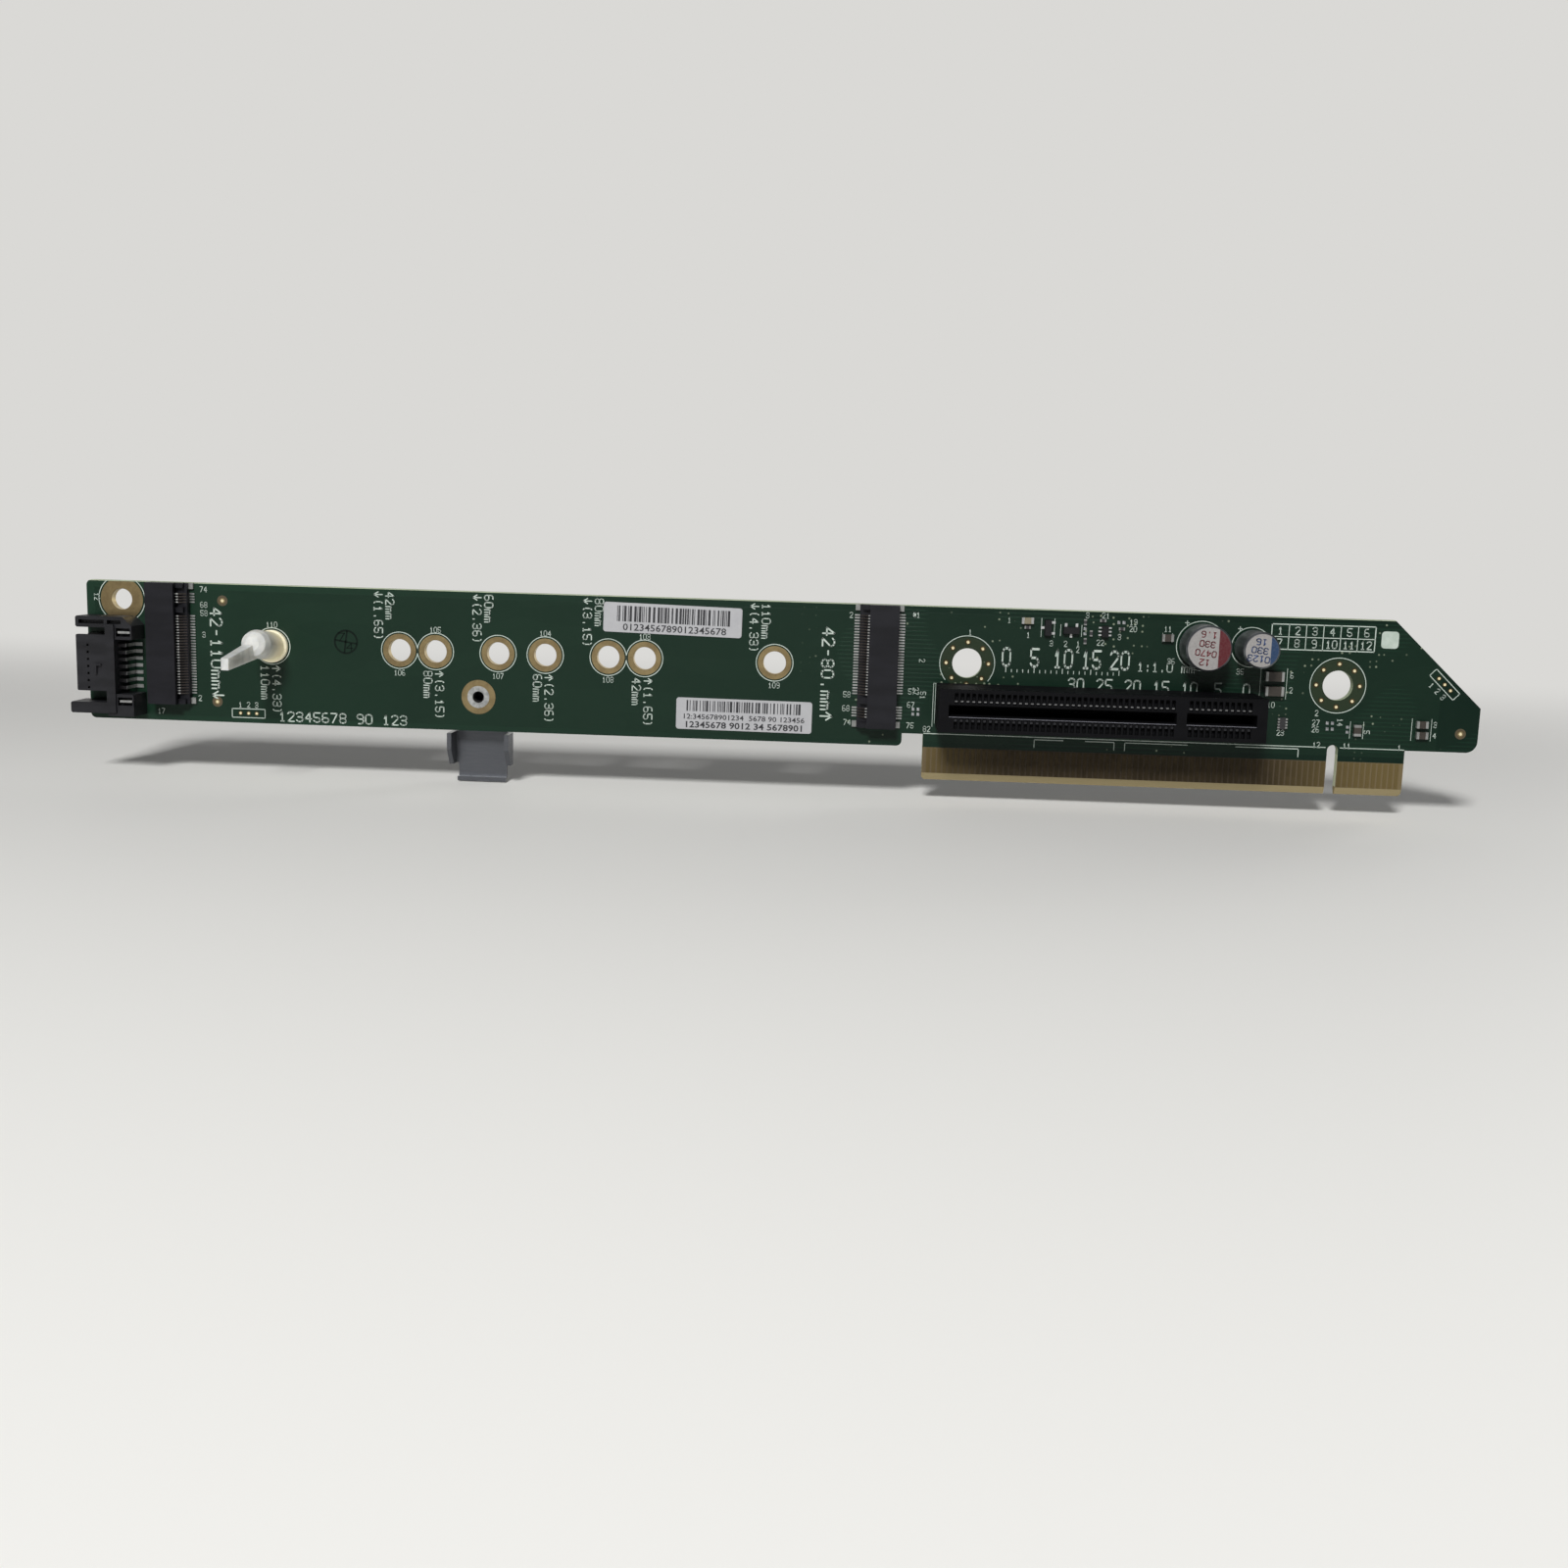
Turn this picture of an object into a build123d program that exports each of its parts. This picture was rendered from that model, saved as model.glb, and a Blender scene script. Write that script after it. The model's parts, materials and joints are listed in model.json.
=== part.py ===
"""Upright PCI Express riser card, in millimetres.

X runs along the card, Z is up, and the component side faces -Y. The origin is on the lower line of the
card edge, at the centre of the key notch and in the middle of the board's thickness.
"""

import os

from build123d import *

os.makedirs("parts", exist_ok=True)

# ---------------------------------------------------------------- card edge
contact_pitch = 1.00
pad_width = 0.70
pad_height = 4.45
pad_thickness = 0.05
short_bank_contacts = 11
long_bank_contacts = 71
key_contact_gap = 3.00          # centre to centre across the key notch
bank_margin = 1.10              # outermost contact centre to the end of the tongue
notch_width = 1.90
notch_depth = 8.80
bevel_height = 1.30
bevel_depth = 0.45
tongue_height = 8.25
tongue_corner = 0.45

# ---------------------------------------------------------------- board
board_thickness = 1.57
module_line = 20.14             # height of the line on which both module sockets and their holes lie
lower_edge = 5.95               # underside of the long arm
arm_relief = 3.80               # gap between the tongue and the long arm
right_reach = 12.50             # board beyond the right end of the tongue
slope_run = 16.00
slope_drop = 15.00
small_corner = 1.00
large_corner = 2.00

# ---------------------------------------------------------------- module sockets
socket_height = 3.20
socket_top_margin = 0.06        # housing end to the board's top edge
lip_front = 3.60                # socket centre forward to the front of the lip
hood_front = 1.80
hood_back = 3.40
lip_height = 1.20
mouth_height = 1.10
mouth_back = 1.90               # socket centre back to the end of the mouth
cheek = 0.90                    # thickness of the mouth's end walls
socket_tail_pitch = 0.50
socket_tail_width = 0.24
socket_tail_thickness = 0.15
socket_tail_reach = 4.50        # socket centre to the tail tips
socket_end_margin = 1.70        # housing end to the outermost contact of the back row
long_socket_contacts = 29       # above the key, on each side
front_socket_contacts = 4       # below the key, at the mouth
back_socket_contacts = 5
key_positions = 4
key_rib_width = 1.00
guide_reach = 1.30              # guides in front of the hood
guide_rise = 0.80               # and above the lip
anchor_width = 1.10
anchor_length = 0.80
anchor_thickness = 0.50
right_datum = -81.05
left_datum = -209.63
module_lengths = (42.0, 60.0, 80.0, 110.0)
module_hole_radius = 2.10
left_margin = 15.47             # left datum to the board's left end

# ---------------------------------------------------------------- mounting holes
mounting_hole_radius = 2.65
mounting_hole_1 = (-65.30, 21.20)
mounting_hole_2 = (0.00, 19.40)
corner_hole_radius = 1.95
corner_hole_inset = 6.50        # from the board's left end
corner_hole_drop = 3.35         # from the board's top edge

# ---------------------------------------------------------------- card slot
slot_right = -14.57
slot_line = 13.79
slot_short_contacts = 11
slot_long_contacts = 38
slot_end_margin = 3.00
slot_width = 7.50
slot_height = 11.25
chamber_width = 1.80
chamber_depth = 8.40
chamber_end_gap = 1.25          # outermost contact centre to the end of its chamber
key_web = 1.70
pocket_width = 0.62
chamber_chamfer = 0.20
pocket_wall = 0.20              # between the chamber's chamfer and the contacts' pockets
pocket_length = 1.80
pocket_depth = 1.00
contact_inset = 0.15            # from the pocket's inner wall
contact_width = 0.45
contact_thickness = 0.40
contact_tip_height = 0.80
peg_radius = 1.15
peg_clearance = 0.05
peg_point = 0.60
peg_inset = 1.60

# ---------------------------------------------------------------- data socket
data_line = 15.90               # height of the contact row's middle
data_height = 5.40
data_back_inset = 10.50         # from the board's left end
data_length = 10.20             # from the housing's back to its mouth
shroud_top = 5.70               # from the contact row's middle
shroud_bottom = 4.40
shroud_wall = 0.80
blade_thickness = 1.20
blade_half_width = 4.30
blade_set_back = 0.90
blade_height = 2.10
blade_leg = 0.90
blade_leg_width = 1.00
rib_inset = 3.10                # from the housing's back
rib_length = 1.60
rib_rise = 0.40
upper_arm = (7.00, 9.00)
lower_arm = (-8.45, -6.45)
lower_arm_extra = 1.35
body_bottom = 8.90
arm_chamfer = 0.25
lower_step = 0.60               # underside of the rear body to the underside of the rib
back_chamfer = 1.60
groove_width = 0.70
groove_depth = 1.00
groove_margin = 0.60
tail_bay = 4.90                 # half the height of the open bay over the tails
data_pitch = 1.27
data_contacts = 7
data_contact_width = 0.60
data_contact_thickness = 0.20
data_contact_height = 4.00
data_leg_reach = 1.40           # rear wall to the contacts' legs
data_tail_length = 1.30
port_size = 0.40
port_inset = 2.10
recess_line = 6.20
recess_length = 2.60
recess_width = 1.50
recess_depth = 1.60
hold_down_length = 2.20
hold_down_thickness = 0.40
hold_down_height = 1.30

# ---------------------------------------------------------------- bracket and its threaded standoff
bracket_x = -153.20
bracket_hole_height = 12.15
bracket_width = 11.30
sheet_thickness = 0.80
bracket_gap = 1.95              # board to web
web_top = 5.00                  # above the standoff
web_bottom = -3.65
flange_top_gap = 0.50           # below the long arm
flange_bottom = -0.45
flange_depth = 5.05
flange_setback = 2.00
flange_straight = 2.90
tab_inset = 1.20
tab_lip = 1.20
web_corner = 1.50
thread_radius = 1.05
barrel_radius = 2.00
barrel_proud = 0.15
collar_radius = 2.80
flare_radius = 2.40
flare_height = 0.35
rivet_clearance = 0.03
bend_radius = 0.30

# ---------------------------------------------------------------- nylon standoff
foot_radius = 2.95
foot_height = 0.80
foot_step = 0.25
stem_start = 0.40
stem_lean = 6.5                 # degrees towards the board's top edge
stem_radius = 2.55
stem_height = 7.70
shoulder_radius = 2.15
shoulder_height = 9.20
crown_radius = 1.20
crown_height = 9.90
pin_start = 7.40
pin_height = 21.50
pin_root_size = (2.00, 2.80)
pin_root_shift = (-0.85, -0.25)
pin_tip_size = (1.30, 2.00)
pin_tip_shift = (-0.30, -1.60)
leg_radius = 2.00
barb_radius = 2.45
barb_length = 1.90
barb_taper = 18.0
leg_slot = 0.90

# ---------------------------------------------------------------- can capacitors
large_can_place = (-24.30, 25.60)
large_can_radius = 4.00
large_can_height = 7.00
small_can_place = (-15.55, 25.65)
small_can_radius = 3.15
small_can_height = 8.00
can_wall = 0.45
can_groove = 0.25
can_groove_height = 1.50
can_edge = 0.30
seal_height = 0.90

# ---------------------------------------------------------------- small parts: places are (x, z)
led_place = (-55.00, 29.10)
led_size = (1.20, 1.10, 0.70)
led_terminal = 0.45
upright_transistor_place = (-51.35, 27.95)
flat_transistor_place = (-47.25, 27.60)
transistor_size = (1.30, 2.90, 0.95)
transistor_lead = (0.60, 0.42, 0.25)
transistor_lead_spread = 0.95
package_taper = 6.0
logic_chip_place = (-41.30, 27.60)
logic_chip_size = (1.25, 2.10, 0.90)
logic_chip_lead = (0.50, 0.26, 0.20)
logic_chip_pitch = 0.65
large_ceramic_size = (3.20, 1.65, 1.30)
large_ceramic_places = ((-11.30, 20.70), (-11.20, 18.10))
small_ceramic_size = (2.00, 1.25, 0.80)
level_ceramic_places = ((-30.30, 26.85), (15.10, 13.00), (15.20, 11.10))
upright_ceramic_places = ((3.90, 11.60),)
ceramic_terminal = 0.45
array_place = (-9.20, 12.40)
array_size = (1.00, 2.10, 0.45)
array_pitch = 0.50
array_terminal = (0.35, 0.30)
resistor_size = (1.05, 0.50, 0.35)
resistor_terminal = 0.24
level_resistor_places = ((-54.95, 27.90), (-41.75, 29.50), (-38.40, 28.15))
upright_resistor_places = ((-44.87, 29.13), (-44.73, 25.82), (-43.75, 27.20))

# ---------------------------------------------------------------- labels
label_thickness = 0.10
label_corner = 0.50
upper_label_centre = (-118.10, 27.20)
upper_label_size = (24.90, 5.30)
upper_label_turn = -1.10
lower_label_centre = (-104.90, 10.45)
lower_label_size = (24.50, 5.70)
lower_label_turn = -0.30

# ---------------------------------------------------------------- worked-out places
socket_positions = long_socket_contacts + key_positions + back_socket_contacts
half_length = (socket_positions - 1) * socket_tail_pitch / 2 + socket_end_margin
socket_length = 2 * half_length
board_top = module_line + half_length + socket_top_margin
board_left = left_datum - left_margin
data_back = board_left + data_back_inset
data_mouth = data_back - data_length
rib_back = data_back - rib_inset
short_bank_start = key_contact_gap / 2
tongue_right = short_bank_start + (short_bank_contacts - 1) * contact_pitch + bank_margin
tongue_left = -(short_bank_start + (long_bank_contacts - 1) * contact_pitch + bank_margin)
board_right = tongue_right + right_reach
arm_end = tongue_left - arm_relief
right_module_holes = [(right_datum - length, module_line) for length in module_lengths]
left_module_holes = [(left_datum + length, module_line) for length in module_lengths]
standoff_place = right_module_holes[-1]
corner_hole = (board_left + corner_hole_inset, board_top - corner_hole_drop)
bracket_hole = (bracket_x, bracket_hole_height)
slot_span = (slot_short_contacts + slot_long_contacts - 2) * contact_pitch + key_contact_gap
slot_length = slot_span + 2 * slot_end_margin
slot_centre = (slot_right - slot_length / 2, slot_line)
slot_key_x = slot_right - slot_end_margin - (slot_short_contacts - 1) * contact_pitch - key_contact_gap / 2
slot_pegs = [(slot_key_x, slot_line), (slot_right - slot_length + peg_inset, slot_line)]

# Local x and y on these two planes are the card's X and Z, mirrored in x on the back, and local z
# leaves the board.
front = Plane(origin=(0, -board_thickness / 2, 0), x_dir=(1, 0, 0), z_dir=(0, -1, 0))
back = Plane(origin=(0, board_thickness / 2, 0), x_dir=(-1, 0, 0), z_dir=(0, 1, 0))


def save(piece, name):
    """Label a finished piece and write it to its own STEP file."""
    piece.label = name
    export_step(piece, f"parts/{name}.step")


def bank(start, count, pitch):
    """Centres of a row of equally spaced contacts."""
    return [start + index * pitch for index in range(count)]


edge_contact_xs = bank(short_bank_start, short_bank_contacts, contact_pitch)
edge_contact_xs += bank(-short_bank_start, long_bank_contacts, -contact_pitch)
slot_contact_xs = bank(slot_right - slot_end_margin, slot_short_contacts, -contact_pitch)
slot_contact_xs += bank(slot_key_x - key_contact_gap / 2, slot_long_contacts, -contact_pitch)

# ================================================================ board
with BuildPart() as circuit_board:
    with BuildSketch(front):
        with BuildLine():
            Polyline(
                (board_left, lower_edge),
                (arm_end, lower_edge),
                (arm_end, tongue_height),
                (tongue_left, tongue_height),
                (tongue_left, 0),
                (tongue_right, 0),
                (tongue_right, tongue_height),
                (board_right, tongue_height),
                (board_right, board_top - slope_drop),
                (board_right - slope_run, board_top),
                (board_left, board_top),
                close=True,
            )
        make_face()
        tongue_tips = vertices().group_by(Axis.Y)[0]
        left_corners = vertices().group_by(Axis.X)[0]
        arm_corner = vertices().group_by(Axis.Y)[1].sort_by(Axis.X)[-1]
        chamfer(tongue_tips, tongue_corner)
        fillet([*left_corners, arm_corner], small_corner)
        fillet(vertices().group_by(Axis.X)[-1].sort_by(Axis.Y)[0], large_corner)
        with Locations((0, notch_depth / 2 - notch_width / 2)):
            SlotOverall(notch_depth + notch_width, notch_width, rotation=90, mode=Mode.SUBTRACT)
        with Locations(*right_module_holes, *left_module_holes):
            Circle(module_hole_radius, mode=Mode.SUBTRACT)
        with Locations(mounting_hole_1, mounting_hole_2):
            Circle(mounting_hole_radius, mode=Mode.SUBTRACT)
        with Locations(corner_hole):
            Circle(corner_hole_radius, mode=Mode.SUBTRACT)
        with Locations(bracket_hole):
            Circle(barrel_radius + rivet_clearance, mode=Mode.SUBTRACT)
        with Locations(*slot_pegs):
            Circle(peg_radius + peg_clearance, mode=Mode.SUBTRACT)
    extrude(amount=-board_thickness)
    with BuildSketch(Plane.YZ):
        with BuildLine():
            Polyline(
                (-board_thickness / 2, bevel_height),
                (-board_thickness / 2, 0),
                (-board_thickness / 2 + bevel_depth, 0),
                close=True,
            )
        make_face()
        mirror(about=Plane.YZ)
    extrude(amount=-tongue_left, both=True, mode=Mode.SUBTRACT)
save(circuit_board.part, "circuit_board")

# ================================================================ gold contacts of the card edge
pad_centre = bevel_height + pad_height / 2

with BuildPart() as edge_contacts_front:
    with BuildSketch(front):
        with Locations(*[(x, pad_centre) for x in edge_contact_xs]):
            Rectangle(pad_width, pad_height)
    extrude(amount=pad_thickness)
save(edge_contacts_front.part, "edge_contacts_front")

with BuildPart() as edge_contacts_back:
    with BuildSketch(back):
        with Locations(*[(-x, pad_centre) for x in edge_contact_xs]):
            Rectangle(pad_width, pad_height)
    extrude(amount=pad_thickness)
save(edge_contacts_back.part, "edge_contacts_back")

# ================================================================ card slot
slot_top_centre = front.from_local_coords((*slot_centre, slot_height))
slot_top = Plane(origin=slot_top_centre, x_dir=front.x_dir, z_dir=front.z_dir)
local_contact_xs = [x - slot_centre[0] for x in slot_contact_xs]
local_key_x = slot_key_x - slot_centre[0]
chamber_spans = (
    (local_key_x + key_web / 2, local_contact_xs[0] + chamber_end_gap),
    (local_contact_xs[-1] - chamber_end_gap, local_key_x - key_web / 2),
)
pocket_start = chamber_width / 2 + chamber_chamfer + pocket_wall
pocket_line = pocket_start + pocket_length / 2
contact_line = pocket_start + contact_inset + contact_thickness / 2
pocket_places = [(x, side * pocket_line) for side in (-1, 1) for x in local_contact_xs]
slot_contact_places = [(x, side * contact_line) for side in (-1, 1) for x in local_contact_xs]

with BuildPart() as slot_housing:
    with BuildSketch(slot_top):
        Rectangle(slot_length, slot_width)
    extrude(amount=-slot_height)
    for start, end in chamber_spans:
        with BuildSketch(slot_top):
            with Locations(((start + end) / 2, 0)):
                Rectangle(end - start, chamber_width)
        extrude(amount=-chamber_depth, mode=Mode.SUBTRACT)
        with BuildSketch(slot_top):
            with Locations(((start + end) / 2, 0)):
                Rectangle(end - start, chamber_width + 2 * chamber_chamfer)
        extrude(amount=-chamber_chamfer, taper=45, mode=Mode.SUBTRACT)
    with BuildSketch(slot_top):
        with Locations(*pocket_places):
            Rectangle(pocket_width, pocket_length)
    extrude(amount=-pocket_depth, mode=Mode.SUBTRACT)
    with BuildSketch(front):
        with Locations(*slot_pegs):
            Circle(peg_radius)
    extrude(amount=-board_thickness - peg_point)
save(slot_housing.part, "slot_housing")

with BuildPart() as slot_contacts:
    with BuildSketch(slot_top.offset(-pocket_depth)):
        with Locations(*slot_contact_places):
            Rectangle(contact_width, contact_thickness)
    extrude(amount=contact_tip_height)
save(slot_contacts.part, "slot_contacts")

# ================================================================ module sockets
# Local x of a socket runs from its mouth to its back, local y along its contact rows from contact 1 to 75.
first_contact_y = half_length - socket_end_margin
lower_bank_y = first_contact_y - (long_socket_contacts + key_positions) * socket_tail_pitch
back_bank_ys = bank(first_contact_y, long_socket_contacts, -socket_tail_pitch)
back_bank_ys += bank(lower_bank_y, back_socket_contacts, -socket_tail_pitch)
half_step = socket_tail_pitch / 2
front_bank_ys = bank(first_contact_y - half_step, long_socket_contacts, -socket_tail_pitch)
front_bank_ys += bank(lower_bank_y - half_step, front_socket_contacts, -socket_tail_pitch)
socket_key_y = (front_bank_ys[long_socket_contacts - 1] + back_bank_ys[long_socket_contacts]) / 2
mouth_spans = (
    (socket_key_y + key_rib_width / 2, half_length - cheek),
    (cheek - half_length, socket_key_y - key_rib_width / 2),
)
guide_spans = (
    (half_length - cheek, half_length),
    (socket_key_y - key_rib_width / 2, socket_key_y + key_rib_width / 2),
    (-half_length, cheek - half_length),
)


def section(place, y):
    """Plane across a socket at local y, in which x runs to the back and y away from the board."""
    return Plane(origin=place.from_local_coords((0, y, 0)), x_dir=place.x_dir, z_dir=-place.y_dir)


for side, socket_x, to_back in (("right", right_datum, 1), ("left", left_datum, -1)):
    place = Plane(origin=(socket_x, -board_thickness / 2, module_line), x_dir=(to_back, 0, 0), z_dir=(0, -1, 0))

    with BuildPart() as socket_housing:
        with BuildSketch(section(place, half_length)):
            with BuildLine():
                Polyline(
                    (-lip_front, 0),
                    (-lip_front, lip_height),
                    (-hood_front, lip_height),
                    (-hood_front, socket_height),
                    (hood_back, socket_height),
                    (hood_back, 0),
                    close=True,
                )
            make_face()
        extrude(amount=socket_length)
        for start, end in guide_spans:
            with BuildSketch(section(place, end)):
                with Locations((-hood_front, lip_height)):
                    Rectangle(guide_reach, guide_rise, align=(Align.MAX, Align.MIN))
            extrude(amount=end - start)
        for start, end in mouth_spans:
            with BuildSketch(section(place, end)):
                with Locations((-hood_front, lip_height)):
                    Rectangle(hood_front + mouth_back, mouth_height, align=(Align.MIN, Align.MIN))
            extrude(amount=end - start, mode=Mode.SUBTRACT)
    save(socket_housing.part, f"{side}_socket_housing")

    with BuildPart() as socket_contacts:
        foot_length = socket_tail_reach - lip_front
        back_foot_length = socket_tail_reach - hood_back
        with BuildSketch(place):
            with Locations(*[(-lip_front - foot_length / 2, y) for y in front_bank_ys]):
                Rectangle(foot_length, socket_tail_width)
            with Locations(*[(hood_back + back_foot_length / 2, y) for y in back_bank_ys]):
                Rectangle(back_foot_length, socket_tail_width)
        extrude(amount=socket_tail_thickness)
    save(socket_contacts.part, f"{side}_socket_contacts")

    with BuildPart() as socket_anchors:
        with BuildSketch(place):
            for end in (-1, 1):
                with Locations((hood_back, end * (half_length - anchor_width / 2))):
                    Rectangle(anchor_length, anchor_width, align=(Align.MIN, Align.CENTER))
                with Locations((-lip_front, end * (half_length - anchor_width / 2))):
                    Rectangle(anchor_length, anchor_width, align=(Align.MAX, Align.CENTER))
        extrude(amount=anchor_thickness)
    save(socket_anchors.part, f"{side}_socket_anchors")

# ================================================================ data socket
rib_front = rib_back - rib_length
data_ys = bank(data_line + (data_contacts - 1) * data_pitch / 2, data_contacts, -data_pitch)

with BuildPart() as data_socket_housing:
    # rear body with its bevelled upper corner
    with BuildSketch(front):
        with BuildLine():
            Polyline(
                (rib_front, data_line - body_bottom),
                (data_back, data_line - body_bottom),
                (data_back, data_line + upper_arm[1] - back_chamfer),
                (data_back - back_chamfer, data_line + upper_arm[1]),
                (rib_front, data_line + upper_arm[1]),
                close=True,
            )
        make_face()
    extrude(amount=data_height)
    # guide arms beside the shroud
    for (low, high), reach in ((upper_arm, 0), (lower_arm, lower_arm_extra)):
        with BuildSketch(front):
            with Locations((rib_front, data_line + low)):
                Rectangle(rib_front - data_mouth + reach, high - low, align=(Align.MAX, Align.MIN))
            chamfer(vertices().group_by(Axis.X)[0], arm_chamfer)
        extrude(amount=data_height)
    # upper and lower wall of the shroud
    for start in (0, data_height - shroud_wall):
        with BuildSketch(front.offset(start)):
            with Locations((rib_front, data_line + shroud_top)):
                Rectangle(rib_front - data_mouth, shroud_top + shroud_bottom, align=(Align.MAX, Align.MAX))
            fillet(vertices().group_by(Axis.X)[0], arm_chamfer)
        extrude(amount=shroud_wall)
    # rib across the roof
    with BuildSketch(front.offset(data_height)):
        with Locations((rib_front, data_line - body_bottom + lower_step)):
            Rectangle(rib_length, body_bottom + upper_arm[0], align=(Align.MIN, Align.MIN))
    extrude(amount=rib_rise)
    # contact blade with its key leg
    with BuildSketch(front.offset(blade_height)):
        with Locations((rib_front, data_line)):
            Rectangle(rib_front - data_mouth - blade_set_back, 2 * blade_half_width, align=(Align.MAX, Align.CENTER))
    extrude(amount=blade_thickness)
    with BuildSketch(front.offset(blade_height)):
        with Locations((rib_front, data_line + blade_half_width)):
            Rectangle(rib_front - data_mouth - blade_set_back, blade_leg_width, align=(Align.MAX, Align.MAX))
    extrude(amount=-blade_leg)
    # open bay over the tails, which leaves the wall that the contacts pass through
    with BuildSketch(front):
        with Locations((rib_back, data_line)):
            Rectangle(data_back - rib_back, 2 * tail_bay, align=(Align.MIN, Align.CENTER))
    extrude(amount=data_height, mode=Mode.SUBTRACT)
    # long grooves in the upper arm
    groove_ends = (
        (data_mouth + groove_margin, rib_front - groove_margin / 2),
        (rib_front + groove_margin / 2, data_back - back_chamfer - groove_margin / 2),
    )
    with BuildSketch(front.offset(data_height)):
        for start, end in groove_ends:
            with Locations(((start + end) / 2, data_line + sum(upper_arm) / 2)):
                Rectangle(end - start, groove_width)
    extrude(amount=-groove_depth, mode=Mode.SUBTRACT)
    # recesses for the hold-downs, and the inspection ports
    recess_x = (rib_back + data_back) / 2
    recess_places = [(recess_x, data_line + end * recess_line) for end in (-1, 1)]
    with BuildSketch(front.offset(data_height)):
        with Locations(*recess_places):
            Rectangle(recess_length, recess_width)
    extrude(amount=-recess_depth, mode=Mode.SUBTRACT)
    with BuildSketch(front.offset(data_height)):
        with Locations(*[(data_mouth + port_inset, y) for y in data_ys]):
            Rectangle(port_size, port_size)
    extrude(amount=-shroud_wall, mode=Mode.SUBTRACT)
save(data_socket_housing.part, "data_socket_housing")

with BuildPart() as data_socket_contacts:
    for y in data_ys:
        with BuildSketch(Plane(origin=(0, -board_thickness / 2, y), x_dir=(1, 0, 0), z_dir=(0, 0, -1))):
            leg_x = rib_back + data_leg_reach
            with BuildLine():
                Polyline(
                    (rib_back, data_contact_height),
                    (leg_x, data_contact_height),
                    (leg_x, data_contact_thickness),
                    (leg_x + data_tail_length, data_contact_thickness),
                    (leg_x + data_tail_length, 0),
                    (leg_x - data_contact_thickness, 0),
                    (leg_x - data_contact_thickness, data_contact_height - data_contact_thickness),
                    (rib_back, data_contact_height - data_contact_thickness),
                    close=True,
                )
            make_face()
        extrude(amount=data_contact_width / 2, both=True)
save(data_socket_contacts.part, "data_socket_contacts")

with BuildPart() as data_socket_anchors:
    with BuildSketch(front.offset(data_height - recess_depth)):
        with Locations(*recess_places):
            Rectangle(hold_down_length, hold_down_thickness)
    extrude(amount=hold_down_height)
save(data_socket_anchors.part, "data_socket_anchors")

# ================================================================ support bracket and its threaded standoff
web_front = board_thickness / 2 + bracket_gap
web_back = web_front + sheet_thickness
flange_top = lower_edge - flange_top_gap
web_plane = Plane(origin=(bracket_x, web_back, 0), x_dir=(1, 0, 0), z_dir=(0, -1, 0))
side_plane = Plane(origin=(bracket_x, 0, 0), x_dir=(0, 1, 0), z_dir=(1, 0, 0))
flange_edge = web_back - flange_depth
tab_width = bracket_width - 2 * tab_inset

with BuildPart() as support_bracket:
    # folded channel below the board
    with BuildSketch(Plane(origin=(bracket_x, web_back, flange_bottom), x_dir=(1, 0, 0), z_dir=(0, 0, 1))):
        with BuildLine():
            Polyline(
                (-bracket_width / 2, -flange_depth),
                (-bracket_width / 2, 0),
                (bracket_width / 2, 0),
                (bracket_width / 2, -flange_depth),
                (bracket_width / 2 - sheet_thickness, -flange_depth),
                (bracket_width / 2 - sheet_thickness, -sheet_thickness),
                (sheet_thickness - bracket_width / 2, -sheet_thickness),
                (sheet_thickness - bracket_width / 2, -flange_depth),
                close=True,
            )
        make_face()
        rows = vertices().group_by(Axis.Y)
        fillet(rows[-1], sheet_thickness + bend_radius)
        fillet(rows[-2], bend_radius)
    extrude(amount=flange_top - flange_bottom)
    # the flanges' front edges slant back towards the bottom
    with BuildSketch(side_plane):
        with BuildLine():
            Polyline(
                (flange_edge, flange_top - flange_straight),
                (flange_edge + flange_setback, flange_bottom),
                (flange_edge, flange_bottom),
                close=True,
            )
        make_face()
    extrude(amount=bracket_width / 2, both=True, mode=Mode.SUBTRACT)
    # web behind the board
    with BuildSketch(web_plane):
        with Locations((0, flange_top)):
            Rectangle(tab_width, bracket_hole_height + web_top - flange_top, align=(Align.CENTER, Align.MIN))
        fillet(vertices().group_by(Axis.Y)[-1], web_corner)
    extrude(amount=sheet_thickness)
    # tab with its lip folded forward
    with BuildSketch(side_plane):
        with BuildLine():
            Polyline(
                (web_back, flange_bottom),
                (web_back, web_bottom),
                (web_front - tab_lip, web_bottom),
                (web_front - tab_lip, web_bottom + sheet_thickness),
                (web_front, web_bottom + sheet_thickness),
                (web_front, flange_bottom),
                close=True,
            )
        make_face()
    extrude(amount=tab_width / 2, both=True)
    fillet(
        edges().filter_by(Axis.X).filter_by_position(Axis.Z, web_bottom, web_bottom).sort_by(Axis.Y)[-1],
        sheet_thickness + bend_radius,
    )
    with BuildSketch(web_plane):
        with Locations((0, bracket_hole_height)):
            Circle(barrel_radius + rivet_clearance)
    extrude(amount=sheet_thickness, mode=Mode.SUBTRACT)
save(support_bracket.part, "support_bracket")

with BuildPart() as bracket_standoff:
    with BuildSketch(Plane(origin=(bracket_x, 0, bracket_hole_height), x_dir=(1, 0, 0), z_dir=(0, 0, 1))):
        with BuildLine():
            Polyline(
                (thread_radius, -board_thickness / 2 - barrel_proud),
                (barrel_radius, -board_thickness / 2 - barrel_proud),
                (barrel_radius, board_thickness / 2),
                (collar_radius, board_thickness / 2),
                (collar_radius, web_front),
                (barrel_radius, web_front),
                (barrel_radius, web_back),
                (flare_radius, web_back),
                (barrel_radius, web_back + flare_height),
                (thread_radius, web_back + flare_height),
                close=True,
            )
        make_face()
    revolve(axis=Axis((bracket_x, 0, bracket_hole_height), (0, 1, 0)))
save(bracket_standoff.part, "bracket_standoff")

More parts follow.
